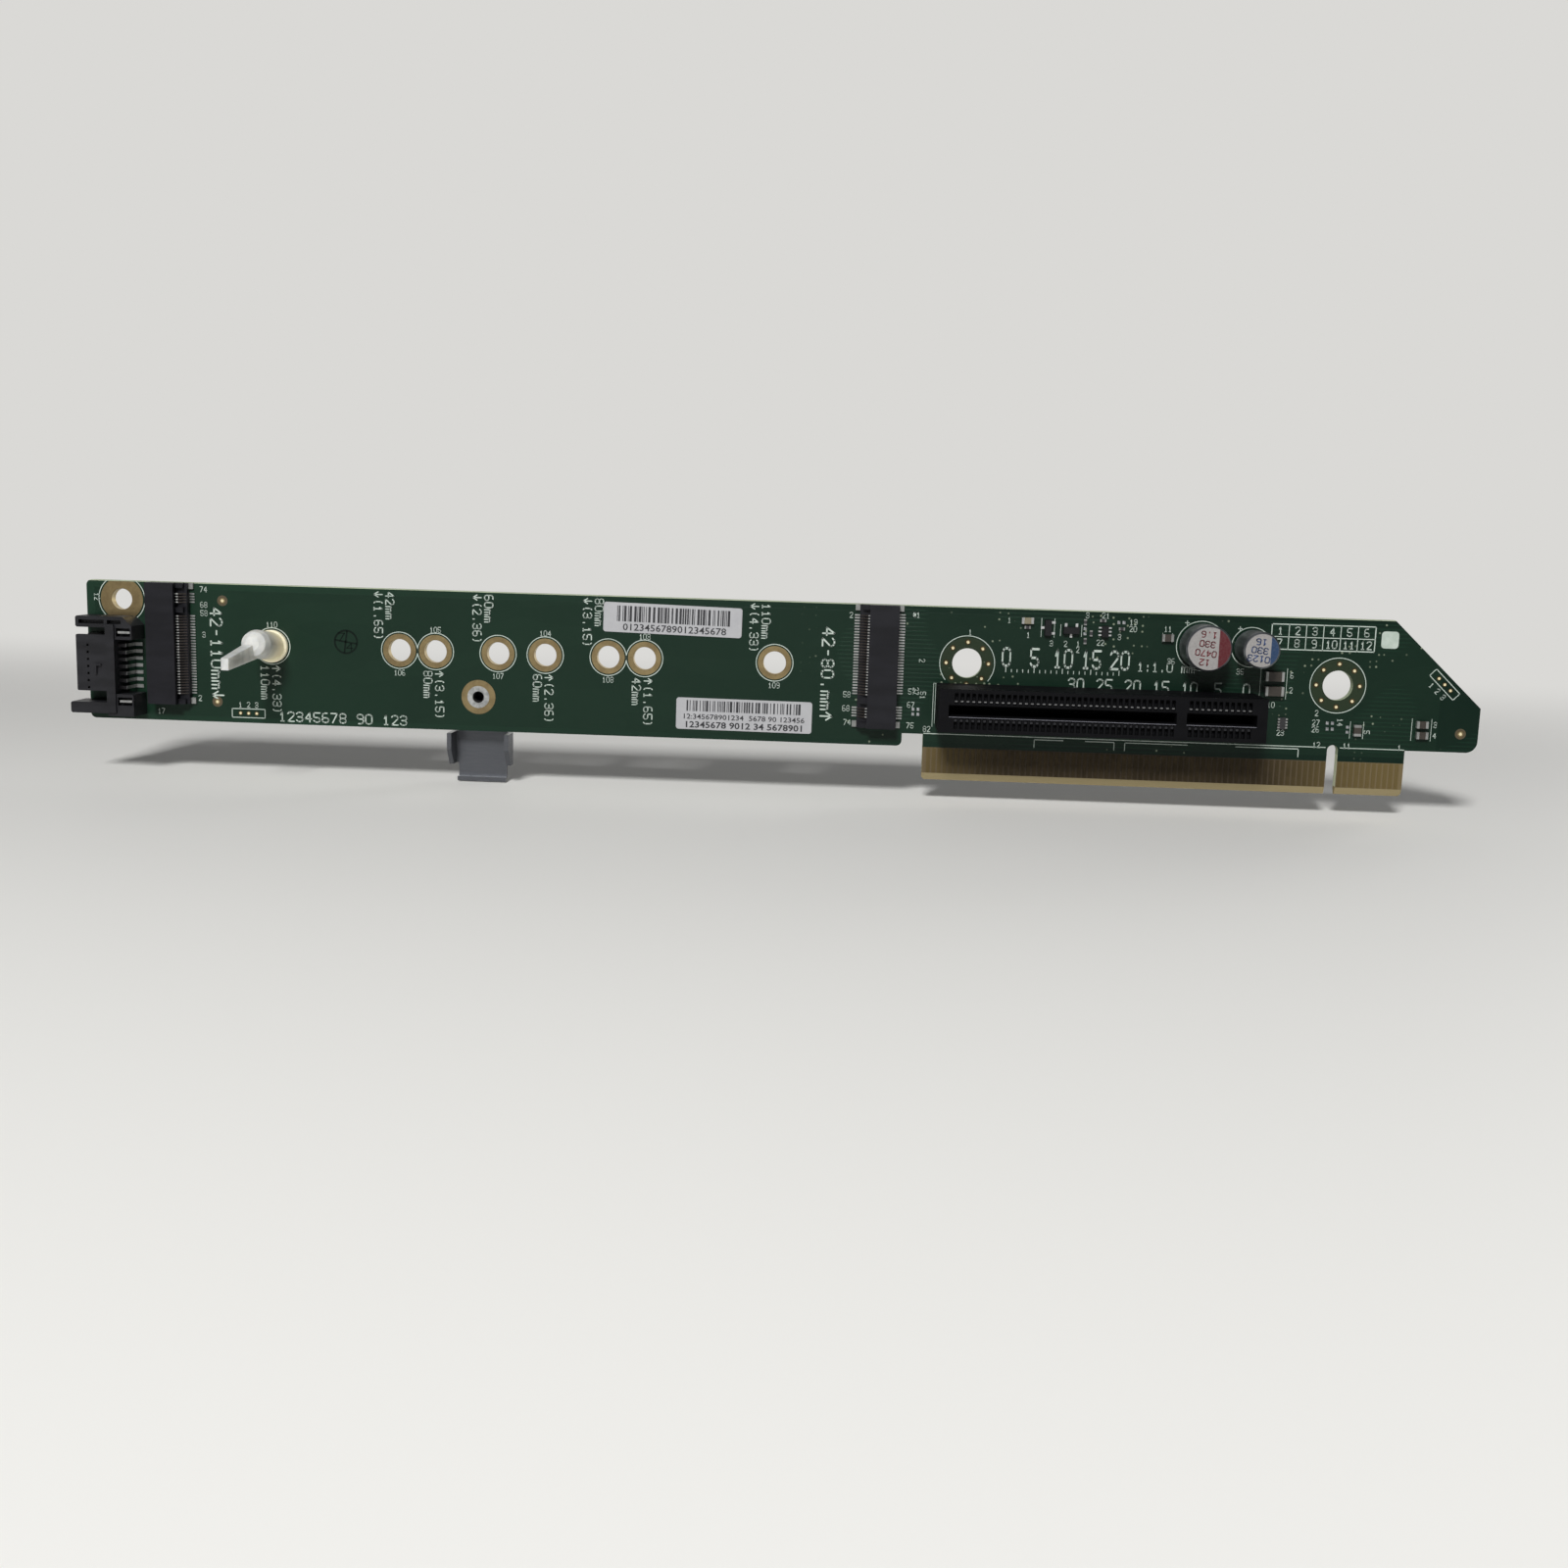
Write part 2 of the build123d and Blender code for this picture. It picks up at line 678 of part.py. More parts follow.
# ================================================================ nylon standoff of the longest module
standoff_base = Plane(
    origin=front.from_local_coords((*standoff_place, 0)), x_dir=front.x_dir, z_dir=front.z_dir
)

foot_section = Plane(origin=standoff_base.origin, x_dir=(1, 0, 0), z_dir=(0, 0, -1))
stem_section = foot_section.rotated((-stem_lean, 0, 0))

with BuildPart() as module_standoff:
    # turned foot
    with BuildSketch(foot_section):
        with BuildLine():
            Polyline(
                (0, 0),
                (foot_radius, 0),
                (foot_radius, foot_height),
                (stem_radius, foot_height + foot_step),
                (0, foot_height + foot_step),
                close=True,
            )
        make_face()
    revolve(axis=Axis(foot_section.origin, foot_section.y_dir))
    # turned stem with a rounded end, which leans towards the board's top edge
    with BuildSketch(stem_section):
        with BuildLine():
            Polyline(
                (0, stem_start),
                (stem_radius, stem_start),
                (stem_radius, stem_height),
                (shoulder_radius, shoulder_height),
                (crown_radius, crown_height),
                (0, crown_height),
                close=True,
            )
        make_face()
    revolve(axis=Axis(stem_section.origin, stem_section.y_dir))
    # flat pin that bends down from the stem
    with BuildSketch(standoff_base.offset(pin_start)):
        with Locations(pin_root_shift):
            Rectangle(*pin_root_size)
    with BuildSketch(standoff_base.offset(pin_height)):
        with Locations(pin_tip_shift):
            Rectangle(*pin_tip_size)
    loft()
    # split snap leg behind the board
    with BuildSketch(standoff_base):
        Circle(leg_radius)
    extrude(amount=-board_thickness)
    with BuildSketch(standoff_base.offset(-board_thickness)):
        Circle(barb_radius)
    extrude(amount=-barb_length, taper=barb_taper)
    with BuildSketch(standoff_base.offset(-board_thickness - barb_length)):
        Rectangle(leg_slot, 2 * barb_radius)
    extrude(amount=board_thickness + barb_length, mode=Mode.SUBTRACT)
save(module_standoff.part, "module_standoff")

# ================================================================ can capacitors
cans = (
    ("large", large_can_place, large_can_radius, large_can_height),
    ("small", small_can_place, small_can_radius, small_can_height),
)

for size, can_place, can_radius, can_height in cans:
    can_axis = Axis(front.from_local_coords((*can_place, 0)), front.z_dir)
    half_section = Plane(origin=can_axis.position, x_dir=(1, 0, 0), z_dir=(0, 0, -1))

    with BuildPart() as capacitor_can:
        with BuildSketch(half_section):
            with BuildLine():
                Polyline(
                    (0, seal_height),
                    (can_radius, seal_height),
                    (can_radius, can_groove_height - can_groove),
                    (can_radius - can_groove, can_groove_height),
                    (can_radius, can_groove_height + can_groove),
                    (can_radius, can_height),
                    (0, can_height),
                    close=True,
                )
            make_face()
        revolve(axis=can_axis)
        chamfer(edges().filter_by(GeomType.CIRCLE).sort_by(Axis.Y)[0], can_edge)
    save(capacitor_can.part, f"{size}_capacitor_can")

    with BuildPart() as capacitor_seal:
        with BuildSketch(half_section):
            Rectangle(can_radius - can_wall, seal_height, align=(Align.MIN, Align.MIN))
        revolve(axis=can_axis)
    save(capacitor_seal.part, f"{size}_capacitor_seal")

# ================================================================ indicator lamp
led_length, led_width, led_height = led_size

with BuildPart() as indicator_lens:
    with BuildSketch(front):
        with Locations(led_place):
            Rectangle(led_length, led_width)
    extrude(amount=led_height)
save(indicator_lens.part, "indicator_lens")

with BuildPart() as indicator_terminals:
    with BuildSketch(front):
        with Locations(led_place):
            with GridLocations(led_length + led_terminal, 0, 2, 1):
                Rectangle(led_terminal, led_width)
    extrude(amount=led_height)
save(indicator_terminals.part, "indicator_terminals")

# ================================================================ transistors
body_width, body_length, body_height = transistor_size
lead_reach, lead_width, lead_height = transistor_lead
lead_line = (body_width + lead_reach) / 2
transistor_lead_places = (
    (-lead_line, 0),
    (lead_line, transistor_lead_spread),
    (lead_line, -transistor_lead_spread),
)
transistors = (
    Plane(origin=front.from_local_coords((*upright_transistor_place, 0)), x_dir=(1, 0, 0), z_dir=front.z_dir),
    Plane(origin=front.from_local_coords((*flat_transistor_place, 0)), x_dir=(0, 0, 1), z_dir=front.z_dir),
)

with BuildPart() as transistor_bodies:
    for place in transistors:
        with BuildSketch(place):
            Rectangle(body_width, body_length)
        extrude(amount=body_height, taper=package_taper)
save(transistor_bodies.part, "transistor_bodies")

with BuildPart() as transistor_leads:
    for place in transistors:
        with BuildSketch(place):
            with Locations(*transistor_lead_places):
                Rectangle(lead_reach, lead_width)
        extrude(amount=lead_height)
save(transistor_leads.part, "transistor_leads")

# ================================================================ six-pin logic chip
chip_width, chip_length, chip_height = logic_chip_size
chip_lead_reach, chip_lead_width, chip_lead_height = logic_chip_lead

with BuildPart() as logic_chip_body:
    with BuildSketch(front):
        with Locations(logic_chip_place):
            Rectangle(chip_width, chip_length)
    extrude(amount=chip_height, taper=package_taper)
save(logic_chip_body.part, "logic_chip_body")

with BuildPart() as logic_chip_leads:
    with BuildSketch(front):
        with Locations(logic_chip_place):
            with GridLocations(chip_width + chip_lead_reach, logic_chip_pitch, 2, 3):
                Rectangle(chip_lead_reach, chip_lead_width)
    extrude(amount=chip_lead_height)
save(logic_chip_leads.part, "logic_chip_leads")

# ================================================================ ceramic capacitors
ceramics = [(place, large_ceramic_size, 0) for place in large_ceramic_places]
ceramics += [(place, small_ceramic_size, 0) for place in level_ceramic_places]
ceramics += [(place, small_ceramic_size, 90) for place in upright_ceramic_places]

with BuildPart() as ceramic_capacitor_bodies:
    for place, (length, width, height), turn in ceramics:
        with BuildSketch(front):
            with Locations(Location((*place, 0), (0, 0, turn))):
                Rectangle(length - 2 * ceramic_terminal, width)
        extrude(amount=height)
save(ceramic_capacitor_bodies.part, "ceramic_capacitor_bodies")

with BuildPart() as ceramic_capacitor_terminals:
    for place, (length, width, height), turn in ceramics:
        with BuildSketch(front):
            with Locations(Location((*place, 0), (0, 0, turn))):
                with GridLocations(length - ceramic_terminal, 0, 2, 1):
                    Rectangle(ceramic_terminal, width)
        extrude(amount=height)
save(ceramic_capacitor_terminals.part, "ceramic_capacitor_terminals")

# ================================================================ resistor array
array_width, array_length, array_height = array_size
array_cap_length, array_cap_width = array_terminal

with BuildPart() as resistor_array_body:
    with BuildSketch(front):
        with Locations(array_place):
            Rectangle(array_width, array_length)
    extrude(amount=array_height)
save(resistor_array_body.part, "resistor_array_body")

with BuildPart() as resistor_array_terminals:
    with BuildSketch(front):
        with Locations(array_place):
            with GridLocations(array_width + array_cap_length, array_pitch, 2, 4):
                Rectangle(array_cap_length, array_cap_width)
    extrude(amount=array_height)
save(resistor_array_terminals.part, "resistor_array_terminals")

# ================================================================ chip resistors
resistor_length, resistor_width, resistor_height = resistor_size
resistors = [(place, 0) for place in level_resistor_places]
resistors += [(place, 90) for place in upright_resistor_places]

with BuildPart() as chip_resistor_bodies:
    for place, turn in resistors:
        with BuildSketch(front):
            with Locations(Location((*place, 0), (0, 0, turn))):
                Rectangle(resistor_length - 2 * resistor_terminal, resistor_width)
        extrude(amount=resistor_height)
save(chip_resistor_bodies.part, "chip_resistor_bodies")

with BuildPart() as chip_resistor_terminals:
    for place, turn in resistors:
        with BuildSketch(front):
            with Locations(Location((*place, 0), (0, 0, turn))):
                with GridLocations(resistor_length - resistor_terminal, 0, 2, 1):
                    Rectangle(resistor_terminal, resistor_width)
        extrude(amount=resistor_height)
save(chip_resistor_terminals.part, "chip_resistor_terminals")

# ================================================================ paper labels
labels = (
    ("upper", upper_label_centre, upper_label_size, upper_label_turn),
    ("lower", lower_label_centre, lower_label_size, lower_label_turn),
)

for name, centre, size, turn in labels:
    with BuildPart() as paper_label:
        with BuildSketch(front):
            with Locations(Location((*centre, 0), (0, 0, turn))):
                RectangleRounded(*size, label_corner)
        extrude(amount=label_thickness)
    save(paper_label.part, f"{name}_label")
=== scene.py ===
"""Dresses the upright riser card: its finishes, plated lands, printing, springs, solder and the studio.

Lengths are in millimetres until a piece is settled, which turns its mesh into metres. The frame is the
card's own: X runs along the card, Z is up and the component side faces -Y.
"""

import json
import logging
import math
import random
from dataclasses import dataclass
from enum import Enum
from typing import Callable, ClassVar, Iterable, Mapping, Optional, Sequence, Union

import bmesh
import bpy
from mathutils import Matrix, Vector


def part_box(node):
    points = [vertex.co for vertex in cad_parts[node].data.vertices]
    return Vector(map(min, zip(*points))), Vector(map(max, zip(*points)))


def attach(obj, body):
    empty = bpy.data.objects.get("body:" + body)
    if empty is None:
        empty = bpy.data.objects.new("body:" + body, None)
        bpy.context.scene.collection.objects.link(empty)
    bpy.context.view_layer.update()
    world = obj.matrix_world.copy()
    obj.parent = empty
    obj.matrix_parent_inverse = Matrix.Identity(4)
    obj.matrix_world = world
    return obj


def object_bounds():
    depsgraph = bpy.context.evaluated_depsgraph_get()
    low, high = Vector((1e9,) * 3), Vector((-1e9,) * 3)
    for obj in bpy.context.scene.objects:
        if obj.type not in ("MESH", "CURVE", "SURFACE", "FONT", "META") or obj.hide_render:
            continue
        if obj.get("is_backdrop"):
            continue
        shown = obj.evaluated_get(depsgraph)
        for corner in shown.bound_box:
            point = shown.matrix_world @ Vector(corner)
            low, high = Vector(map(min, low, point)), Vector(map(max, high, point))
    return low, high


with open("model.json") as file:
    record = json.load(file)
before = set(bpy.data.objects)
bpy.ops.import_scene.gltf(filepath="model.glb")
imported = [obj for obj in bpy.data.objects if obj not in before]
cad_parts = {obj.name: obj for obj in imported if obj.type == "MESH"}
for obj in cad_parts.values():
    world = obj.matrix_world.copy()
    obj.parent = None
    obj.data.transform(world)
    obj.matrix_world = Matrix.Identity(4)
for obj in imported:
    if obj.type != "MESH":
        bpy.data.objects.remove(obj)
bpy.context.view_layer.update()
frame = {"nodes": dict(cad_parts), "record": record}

logging.basicConfig(level=logging.INFO, format="%(message)s")
log = logging.getLogger("riser_card")

MM = 0.001
MOUNTS = {mount["name"]: Vector(mount["pos_m"]) / MM for mount in frame["record"]["mounts"]}
MODULE_HOLES = [name for name in MOUNTS if "_module_hole_" in name]


class Side(Enum):
    """The two faces of the board; the value is the sign of the outward Y."""

    FRONT = -1
    BACK = 1


class Slot(Enum):
    """Material slots of the record."""

    BOARD = "board"
    GOLD = "gold"
    MOULDING = "black_moulding"
    TIN = "tin"
    NYLON = "nylon"
    BRACKET = "bracket"
    STEEL = "steel"
    CAN = "can"
    SEAL = "seal"
    LENS = "lens"
    CHIP = "chip"
    CERAMIC = "ceramic"
    RESISTOR = "resistor"
    PAPER = "paper"


# ---------------------------------------------------------------- shader expressions
def paint(code: str) -> tuple[float, float, float, float]:
    """Linear colour of an sRGB code.

    Args:
        code: six hexadecimal digits after a hash.

    Returns:
        Red, green, blue and alpha.
    """
    parts = [int(code[index:index + 2], 16) / 255 for index in (1, 3, 5)]
    linear = [part / 12.92 if part <= 0.04045 else ((part + 0.055) / 1.055) ** 2.4 for part in parts]
    return (*linear, 1.0)


class Channel:
    """A shader socket on which arithmetic is written as Python expressions."""

    def __init__(self, graph: "Graph", socket: bpy.types.NodeSocket) -> None:
        """Keep the graph and the socket."""
        self.graph = graph
        self.socket = socket

    def _math(self, operation: str, *values: Union["Channel", float]) -> "Channel":
        """Add one Math node over the given values."""
        return self.graph.node("ShaderNodeMath", {"operation": operation}, dict(enumerate(values)))

    def __add__(self, other: Union["Channel", float]) -> "Channel":
        """Sum."""
        return self._math("ADD", self, other)

    __radd__ = __add__

    def __sub__(self, other: Union["Channel", float]) -> "Channel":
        """Difference."""
        return self._math("SUBTRACT", self, other)

    def __rsub__(self, other: float) -> "Channel":
        """Difference from a number."""
        return self._math("SUBTRACT", other, self)

    def __mul__(self, other: Union["Channel", float]) -> "Channel":
        """Product."""
        return self._math("MULTIPLY", self, other)

    __rmul__ = __mul__

    def __truediv__(self, other: Union["Channel", float]) -> "Channel":
        """Quotient."""
        return self._math("DIVIDE", self, other)

    def __abs__(self) -> "Channel":
        """Absolute value."""
        return self._math("ABSOLUTE", self)

    def __or__(self, other: Union["Channel", float]) -> "Channel":
        """The larger of two masks."""
        return self._math("MAXIMUM", self, other)

    def power(self, exponent: float) -> "Channel":
        """This value to a power."""
        return self._math("POWER", self, exponent)

    def beyond(self, low: float, high: float) -> "Channel":
        """Soft mask: 0 below low, 1 above high."""
        settings = {"interpolation_type": "SMOOTHSTEP"}
        return self.graph.node("ShaderNodeMapRange", settings, {0: self, 1: low, 2: high})

    def between(self, low: float, high: float, soft: float) -> "Channel":
        """Soft mask: 1 from low to high, 0 outside."""
        return self.beyond(low - soft, low + soft) * (1 - self.beyond(high - soft, high + soft))


Fill = Union[Channel, float, Sequence[float]]


class Graph:
    """The node graph of one material."""

    def __init__(self, name: str) -> None:
        """Start an empty material.

        Args:
            name: its name.
        """
        self.material = bpy.data.materials.new(name)
        self.material.use_nodes = True
        self.tree = self.material.node_tree
        self.tree.nodes.clear()

    def node(
        self,
        kind: str,
        settings: Optional[Mapping[str, object]] = None,
        sockets: Optional[Mapping[Union[int, str], Fill]] = None,
        output: Union[int, str] = 0,
    ) -> Channel:
        """Add a node.

        Args:
            kind: the node's type.
            settings: its settings, set first; "stops" gives a ramp's places and colours.
            sockets: values or channels for its inputs.
            output: the output that is wanted.

        Returns:
            The wanted output as a channel.
        """
        made = self.tree.nodes.new(kind)
        for key, value in (settings or {}).items():
            if key == "stops":
                ramp = made.color_ramp.elements
                while len(ramp) < len(value):
                    ramp.new(1.0)
                for stop, (place, colour) in zip(ramp, value):
                    stop.position, stop.color = place, colour
            else:
                setattr(made, key, value)
        for key, value in (sockets or {}).items():
            if isinstance(value, Channel):
                self.tree.links.new(value.socket, made.inputs[key])
            else:
                made.inputs[key].default_value = value
        return Channel(self, made.outputs[output])

    def position(self) -> Channel:
        """The point on the object, in millimetres."""
        place = self.node("ShaderNodeTexCoord", output="Object")
        return self.scaled(place, 1 / MM)

    def scaled(self, vector: Channel, factor: float) -> Channel:
        """A vector times a number."""
        return self.node("ShaderNodeVectorMath", {"operation": "SCALE"}, {0: vector, "Scale": factor})

    def stretched(self, vector: Channel, factors: Sequence[float]) -> Channel:
        """A vector times a vector, part by part."""
        return self.node("ShaderNodeVectorMath", {"operation": "MULTIPLY"}, {0: vector, 1: factors})

    def parts(self, vector: Channel) -> tuple[Channel, Channel, Channel]:
        """The three parts of a vector.

        Args:
            vector: the vector.

        Returns:
            Its x, y and z.
        """
        split = self.node("ShaderNodeSeparateXYZ", None, {0: vector})
        outputs = split.socket.node.outputs
        return tuple(Channel(self, outputs[index]) for index in range(3))

    def facing(self) -> tuple[Channel, Channel, Channel]:
        """The three parts of the surface's normal."""
        return self.parts(self.node("ShaderNodeNewGeometry", output="Normal"))

    def noise(self, place: Channel, scale: float, detail: float = 3.0, rough: float = 0.5) -> Channel:
        """Cloud noise, 0 to 1, with the scale in cycles per millimetre."""
        sockets = {"Vector": place, "Scale": scale, "Detail": detail, "Roughness": rough}
        return self.node("ShaderNodeTexNoise", None, sockets)

    def cells(self, place: Channel, scale: float, randomness: float = 1.0) -> Channel:
        """Distance to the nearest cell's point."""
        sockets = {"Vector": place, "Scale": scale, "Randomness": randomness}
        return self.node("ShaderNodeTexVoronoi", None, sockets)

    def mix(self, factor: Fill, first: Fill, second: Fill) -> Channel:
        """Blend two colours."""
        return self.node("ShaderNodeMix", {"data_type": "RGBA"}, {0: factor, 6: first, 7: second}, 2)

    def bump(self, height: Channel, strength: float, depth: float) -> Channel:
        """A bumped normal; the depth is in millimetres."""
        sockets = {"Height": height, "Strength": strength, "Distance": depth * MM}
        return self.node("ShaderNodeBump", None, sockets)

    def close(self, shader: Channel) -> bpy.types.Material:
        """Wire a shader to the output.

        Args:
            shader: the shader.

        Returns:
            The material.
        """
        output = self.tree.nodes.new("ShaderNodeOutputMaterial")
        self.tree.links.new(shader.socket, output.inputs["Surface"])
        return self.material

    def surface(self, sockets: Mapping[str, Fill]) -> bpy.types.Material:
        """Close the graph with the principled shader and return the material."""
        return self.close(self.node("ShaderNodeBsdfPrincipled", None, sockets))


# ---------------------------------------------------------------- finishes
# Card X of the middle of the card edge, and the distance over which it warms towards its ends.
WARM_ENDS = (-36.0, 45.0)


def towards_ends(x: Channel, centre: float, reach: float) -> Channel:
    """Soft mask that rises from the middle of the card edge to its ends."""
    return (abs(x - centre) / reach).beyond(0.45, 1.05)


@dataclass(frozen=True)
class MaskedBoard:
    """Glass laminate under green solder mask, bare on its cut edges and between the edge contacts, with
    painted highlights along its top edge and on the tongue's ends.
    """

    left: str = "#163022"
    right: str = "#031c12"
    pour: str = "#10271b"
    unplated: str = "#2b3524"
    track: str = "#28503b"
    laminate: str = "#a9b39a"
    resin: str = "#8f9a7d"
    bare: str = "#41372a"
    bare_ends: str = "#6d5f43"
    cut: str = "#c3c8ae"
    bevel: str = "#8f8261"
    arm_left: float = -225.0
    card_length: float = 250.0
    mask_end: float = 5.9
    bevel_top: float = 1.3
    arris: float = 31.0
    tongue_left: float = -74.0
    tongue_top: float = 7.0
    pour_x: tuple[float, float] = (-223.6, 18.0)
    pour_z: tuple[float, float] = (6.9, 29.9)
    routed_from: tuple[float, float] = (-96.0, -88.0)
    clearing: tuple[float, float] = (4.5, 4.75)

    def mask(self, g: Graph, place: Channel, x: Channel, z: Channel) -> tuple[Channel, Channel]:
        """Solder mask over the copper pour, its tracks and its vias.

        Args:
            g: the graph.
            place: the point on the board.
            x: its card X.
            z: its card Z.

        Returns:
            The mask's colour and the relief of the copper under it.
        """
        along = (x - self.arm_left) / self.card_length
        stops = [(0.15, paint(self.left)), (0.75, paint(self.right))]
        drift = g.node("ShaderNodeValToRGB", {"stops": stops}, {0: along})
        cloud = g.noise(place, 0.045, 2.0).beyond(0.35, 0.65)
        inside = z.between(*self.pour_z, 0.05) * x.between(*self.pour_x, 0.05)
        band = g.noise(g.stretched(place, (0.06, 1.0, 0.22)), 1.0, 0.0).beyond(0.47, 0.49)
        colour = g.mix(inside * 0.55 + cloud * 0.3, drift, paint(self.pour))
        colour = g.mix(band * inside * 0.12, colour, paint(self.right))
        routed = x.beyond(*self.routed_from)
        rows = g.noise(place, 0.09, 1.0).beyond(0.56, 0.6) * routed
        dots = (1 - g.cells(place, 0.8, 0.35).beyond(0.1, 0.2)) * rows
        waves = {"Vector": place, "Scale": 0.42, "Distortion": 0.6}
        lines = g.node("ShaderNodeTexWave", {"bands_direction": "Z"}, waves)
        tracks = lines.beyond(0.8, 0.9) * g.noise(place, 0.07, 0.0).beyond(0.5, 0.56) * routed
        colour = g.mix(tracks * 0.15, colour, paint(self.track))
        inner, outer = self.clearing
        for hole in ("mounting_hole_1", "mounting_hole_2"):
            away = (x - MOUNTS[hole].x).power(2) + (z - MOUNTS[hole].z).power(2)
            bare_ring = 1 - away.beyond(inner**2, outer**2)
            colour = g.mix(bare_ring * 0.75, colour, paint(self.unplated))
        colour = g.mix(dots * 0.5, colour, paint(self.laminate))
        return colour, tracks + inside * 0.8 + band * inside * 0.3

    def build(self) -> bpy.types.Material:
        """Return the material."""
        g = Graph("masked_board")
        place = g.position()
        x, _, z = g.parts(place)
        nx, ny, _ = g.facing()
        mask, copper = self.mask(g, place, x, z)
        below = x.beyond(self.tongue_left, self.tongue_left + 0.1)
        tongue = (1 - z.beyond(self.mask_end - 0.05, self.mask_end + 0.05)) * below
        bare = g.mix(towards_ends(x, *WARM_ENDS), paint(self.bare), paint(self.bare_ends))
        skin = g.mix(tongue, mask, bare)
        # A thin strip along the top of each face takes the laminate colour: a painted highlight along the top
        # edge.
        skin = g.mix(z.beyond(self.arris, self.arris + 0.04), skin, paint(self.laminate))
        weave = g.noise(g.stretched(place, (1.4, 9.0, 1.4)), 1.0, 3.0)
        laminate = g.mix(weave, paint(self.laminate), paint(self.resin))
        # The tongue's ends take the paler cut colour: laminate painted paler as a highlight.
        tongue_end = abs(nx).beyond(0.5, 0.6) * (1 - z.beyond(self.tongue_top, self.tongue_top + 0.2))
        laminate = g.mix(tongue_end, laminate, paint(self.cut))
        edge = 1 - abs(ny).beyond(0.55, 0.75)
        slant = edge * (1 - z.beyond(self.bevel_top, self.bevel_top + 0.1)) * below
        foot = tongue * (1 - z.beyond(self.bevel_top - 0.1, self.bevel_top))
        colour = g.mix(edge, skin, laminate)
        colour = g.mix(slant | foot, colour, paint(self.bevel))
        return g.surface(
            {
                "Base Color": colour,
                "Roughness": g.noise(place, 0.6, 4.0) * 0.12 + edge * 0.35 + tongue * 0.15 + 0.3,
                "Normal": g.bump(g.noise(place, 5.0, 4.0) * 0.3 + copper, 0.35, 0.03),
                "Specular IOR Level": 0.2,
            }
        )


@dataclass(frozen=True)
class Plating:
    """Thin metal over copper, cloudy and a little wiped."""

    name: str
    light: str
    dark: str
    metallic: float = 0.75
    rough: float = 0.34
    grain: tuple[float, float, float] = (1.0, 1.0, 1.0)
    warm_ends: Optional[tuple[float, float]] = None
    warm: str = "#74643f"
    shaded: Optional[tuple[float, float]] = None
    shade: str = "#29282a"

    def build(self) -> bpy.types.Material:
        """Return the material."""
        g = Graph(self.name)
        place = g.position()
        cloud = g.noise(place, 0.55, 3.0).beyond(0.3, 0.7)
        wipe = g.noise(g.stretched(place, self.grain), 2.2, 4.0)
        colour = g.mix(cloud * 0.6 + wipe * 0.4, paint(self.light), paint(self.dark))
        if self.warm_ends:
            ends = towards_ends(g.parts(place)[0], *self.warm_ends)
            colour = g.mix(ends, colour, paint(self.warm))
        if self.shaded:
            colour = g.mix(g.parts(place)[0].between(*self.shaded, 0.15), colour, paint(self.shade))
        normal = g.bump(wipe, 0.25, 0.02)
        return g.surface(
            {
                "Base Color": colour,
                "Metallic": self.metallic,
                "Roughness": wipe * 0.22 + self.rough - 0.1,
                "Normal": normal,
            }
        )


@dataclass(frozen=True)
class Moulding:
    """Spark-textured dark thermoplastic, greyer in rubbed streaks; its chamfers can take a painted highlight.
    """

    name: str = "dark_moulding"
    body: str = "#17171b"
    rubbed: str = "#2b2b31"
    rough: float = 0.42
    gloss: float = 0.35
    chamfer: Optional[str] = None
    burnished_to: float = 0.0

    def build(self) -> bpy.types.Material:
        """Return the material."""
        g = Graph(self.name)
        place = g.position()
        spark = g.noise(place, 9.0, 4.0)
        flow = g.noise(g.stretched(place, (0.15, 0.6, 0.6)), 1.0, 2.0).beyond(0.3, 0.75)
        colour = g.mix(flow * 0.6 + spark * 0.3, paint(self.body), paint(self.rubbed))
        if self.chamfer:
            # Faces that look up and to the front, near the mouth, take a paler colour: a painted highlight on
            # the chamfers.
            _, ny, nz = g.facing()
            _, y, _ = g.parts(place)
            painted_highlight = (1 - ny).beyond(1.5, 1.6) * nz.beyond(0.5, 0.6) * (1 - nz.beyond(0.8, 0.85))
            painted_highlight = painted_highlight * (1 - y.beyond(self.burnished_to - 0.01, self.burnished_to + 0.01))
            colour = g.mix(painted_highlight, colour, paint(self.chamfer))
        normal = g.bump(spark, 0.4, 0.02)
        return g.surface(
            {
                "Base Color": colour,
                "Roughness": flow * 0.12 + spark * 0.1 + self.rough - 0.08,
                "Normal": normal,
                "Specular IOR Level": self.gloss,
            }
        )


@dataclass(frozen=True)
class SlotContacts:
    """Dull springs of the card slot, with a painted glint at each tip of the upper row."""

    line: float
    row: float = 1.6
    dull: str = "#1d1d20"
    worn: str = "#29292d"
    glint: str = "#929290"

    def build(self) -> bpy.types.Material:
        """Return the material."""
        g = Graph("slot_springs")
        place = g.position()
        _, _, z = g.parts(place)
        wear = g.noise(place, 1.5, 3.0)
        # Each upper-row spring has a pale band near its tip: a painted glint.
        upper = z.between(self.line + self.row, self.line + self.row + 0.12, 0.03)
        colour = g.mix(wear, paint(self.dull), paint(self.worn))
        colour = g.mix(upper * (wear * 0.5 + 0.6), colour, paint(self.glint))
        return g.surface({"Base Color": colour, "Metallic": 0.4, "Roughness": wear * 0.2 + 0.35})


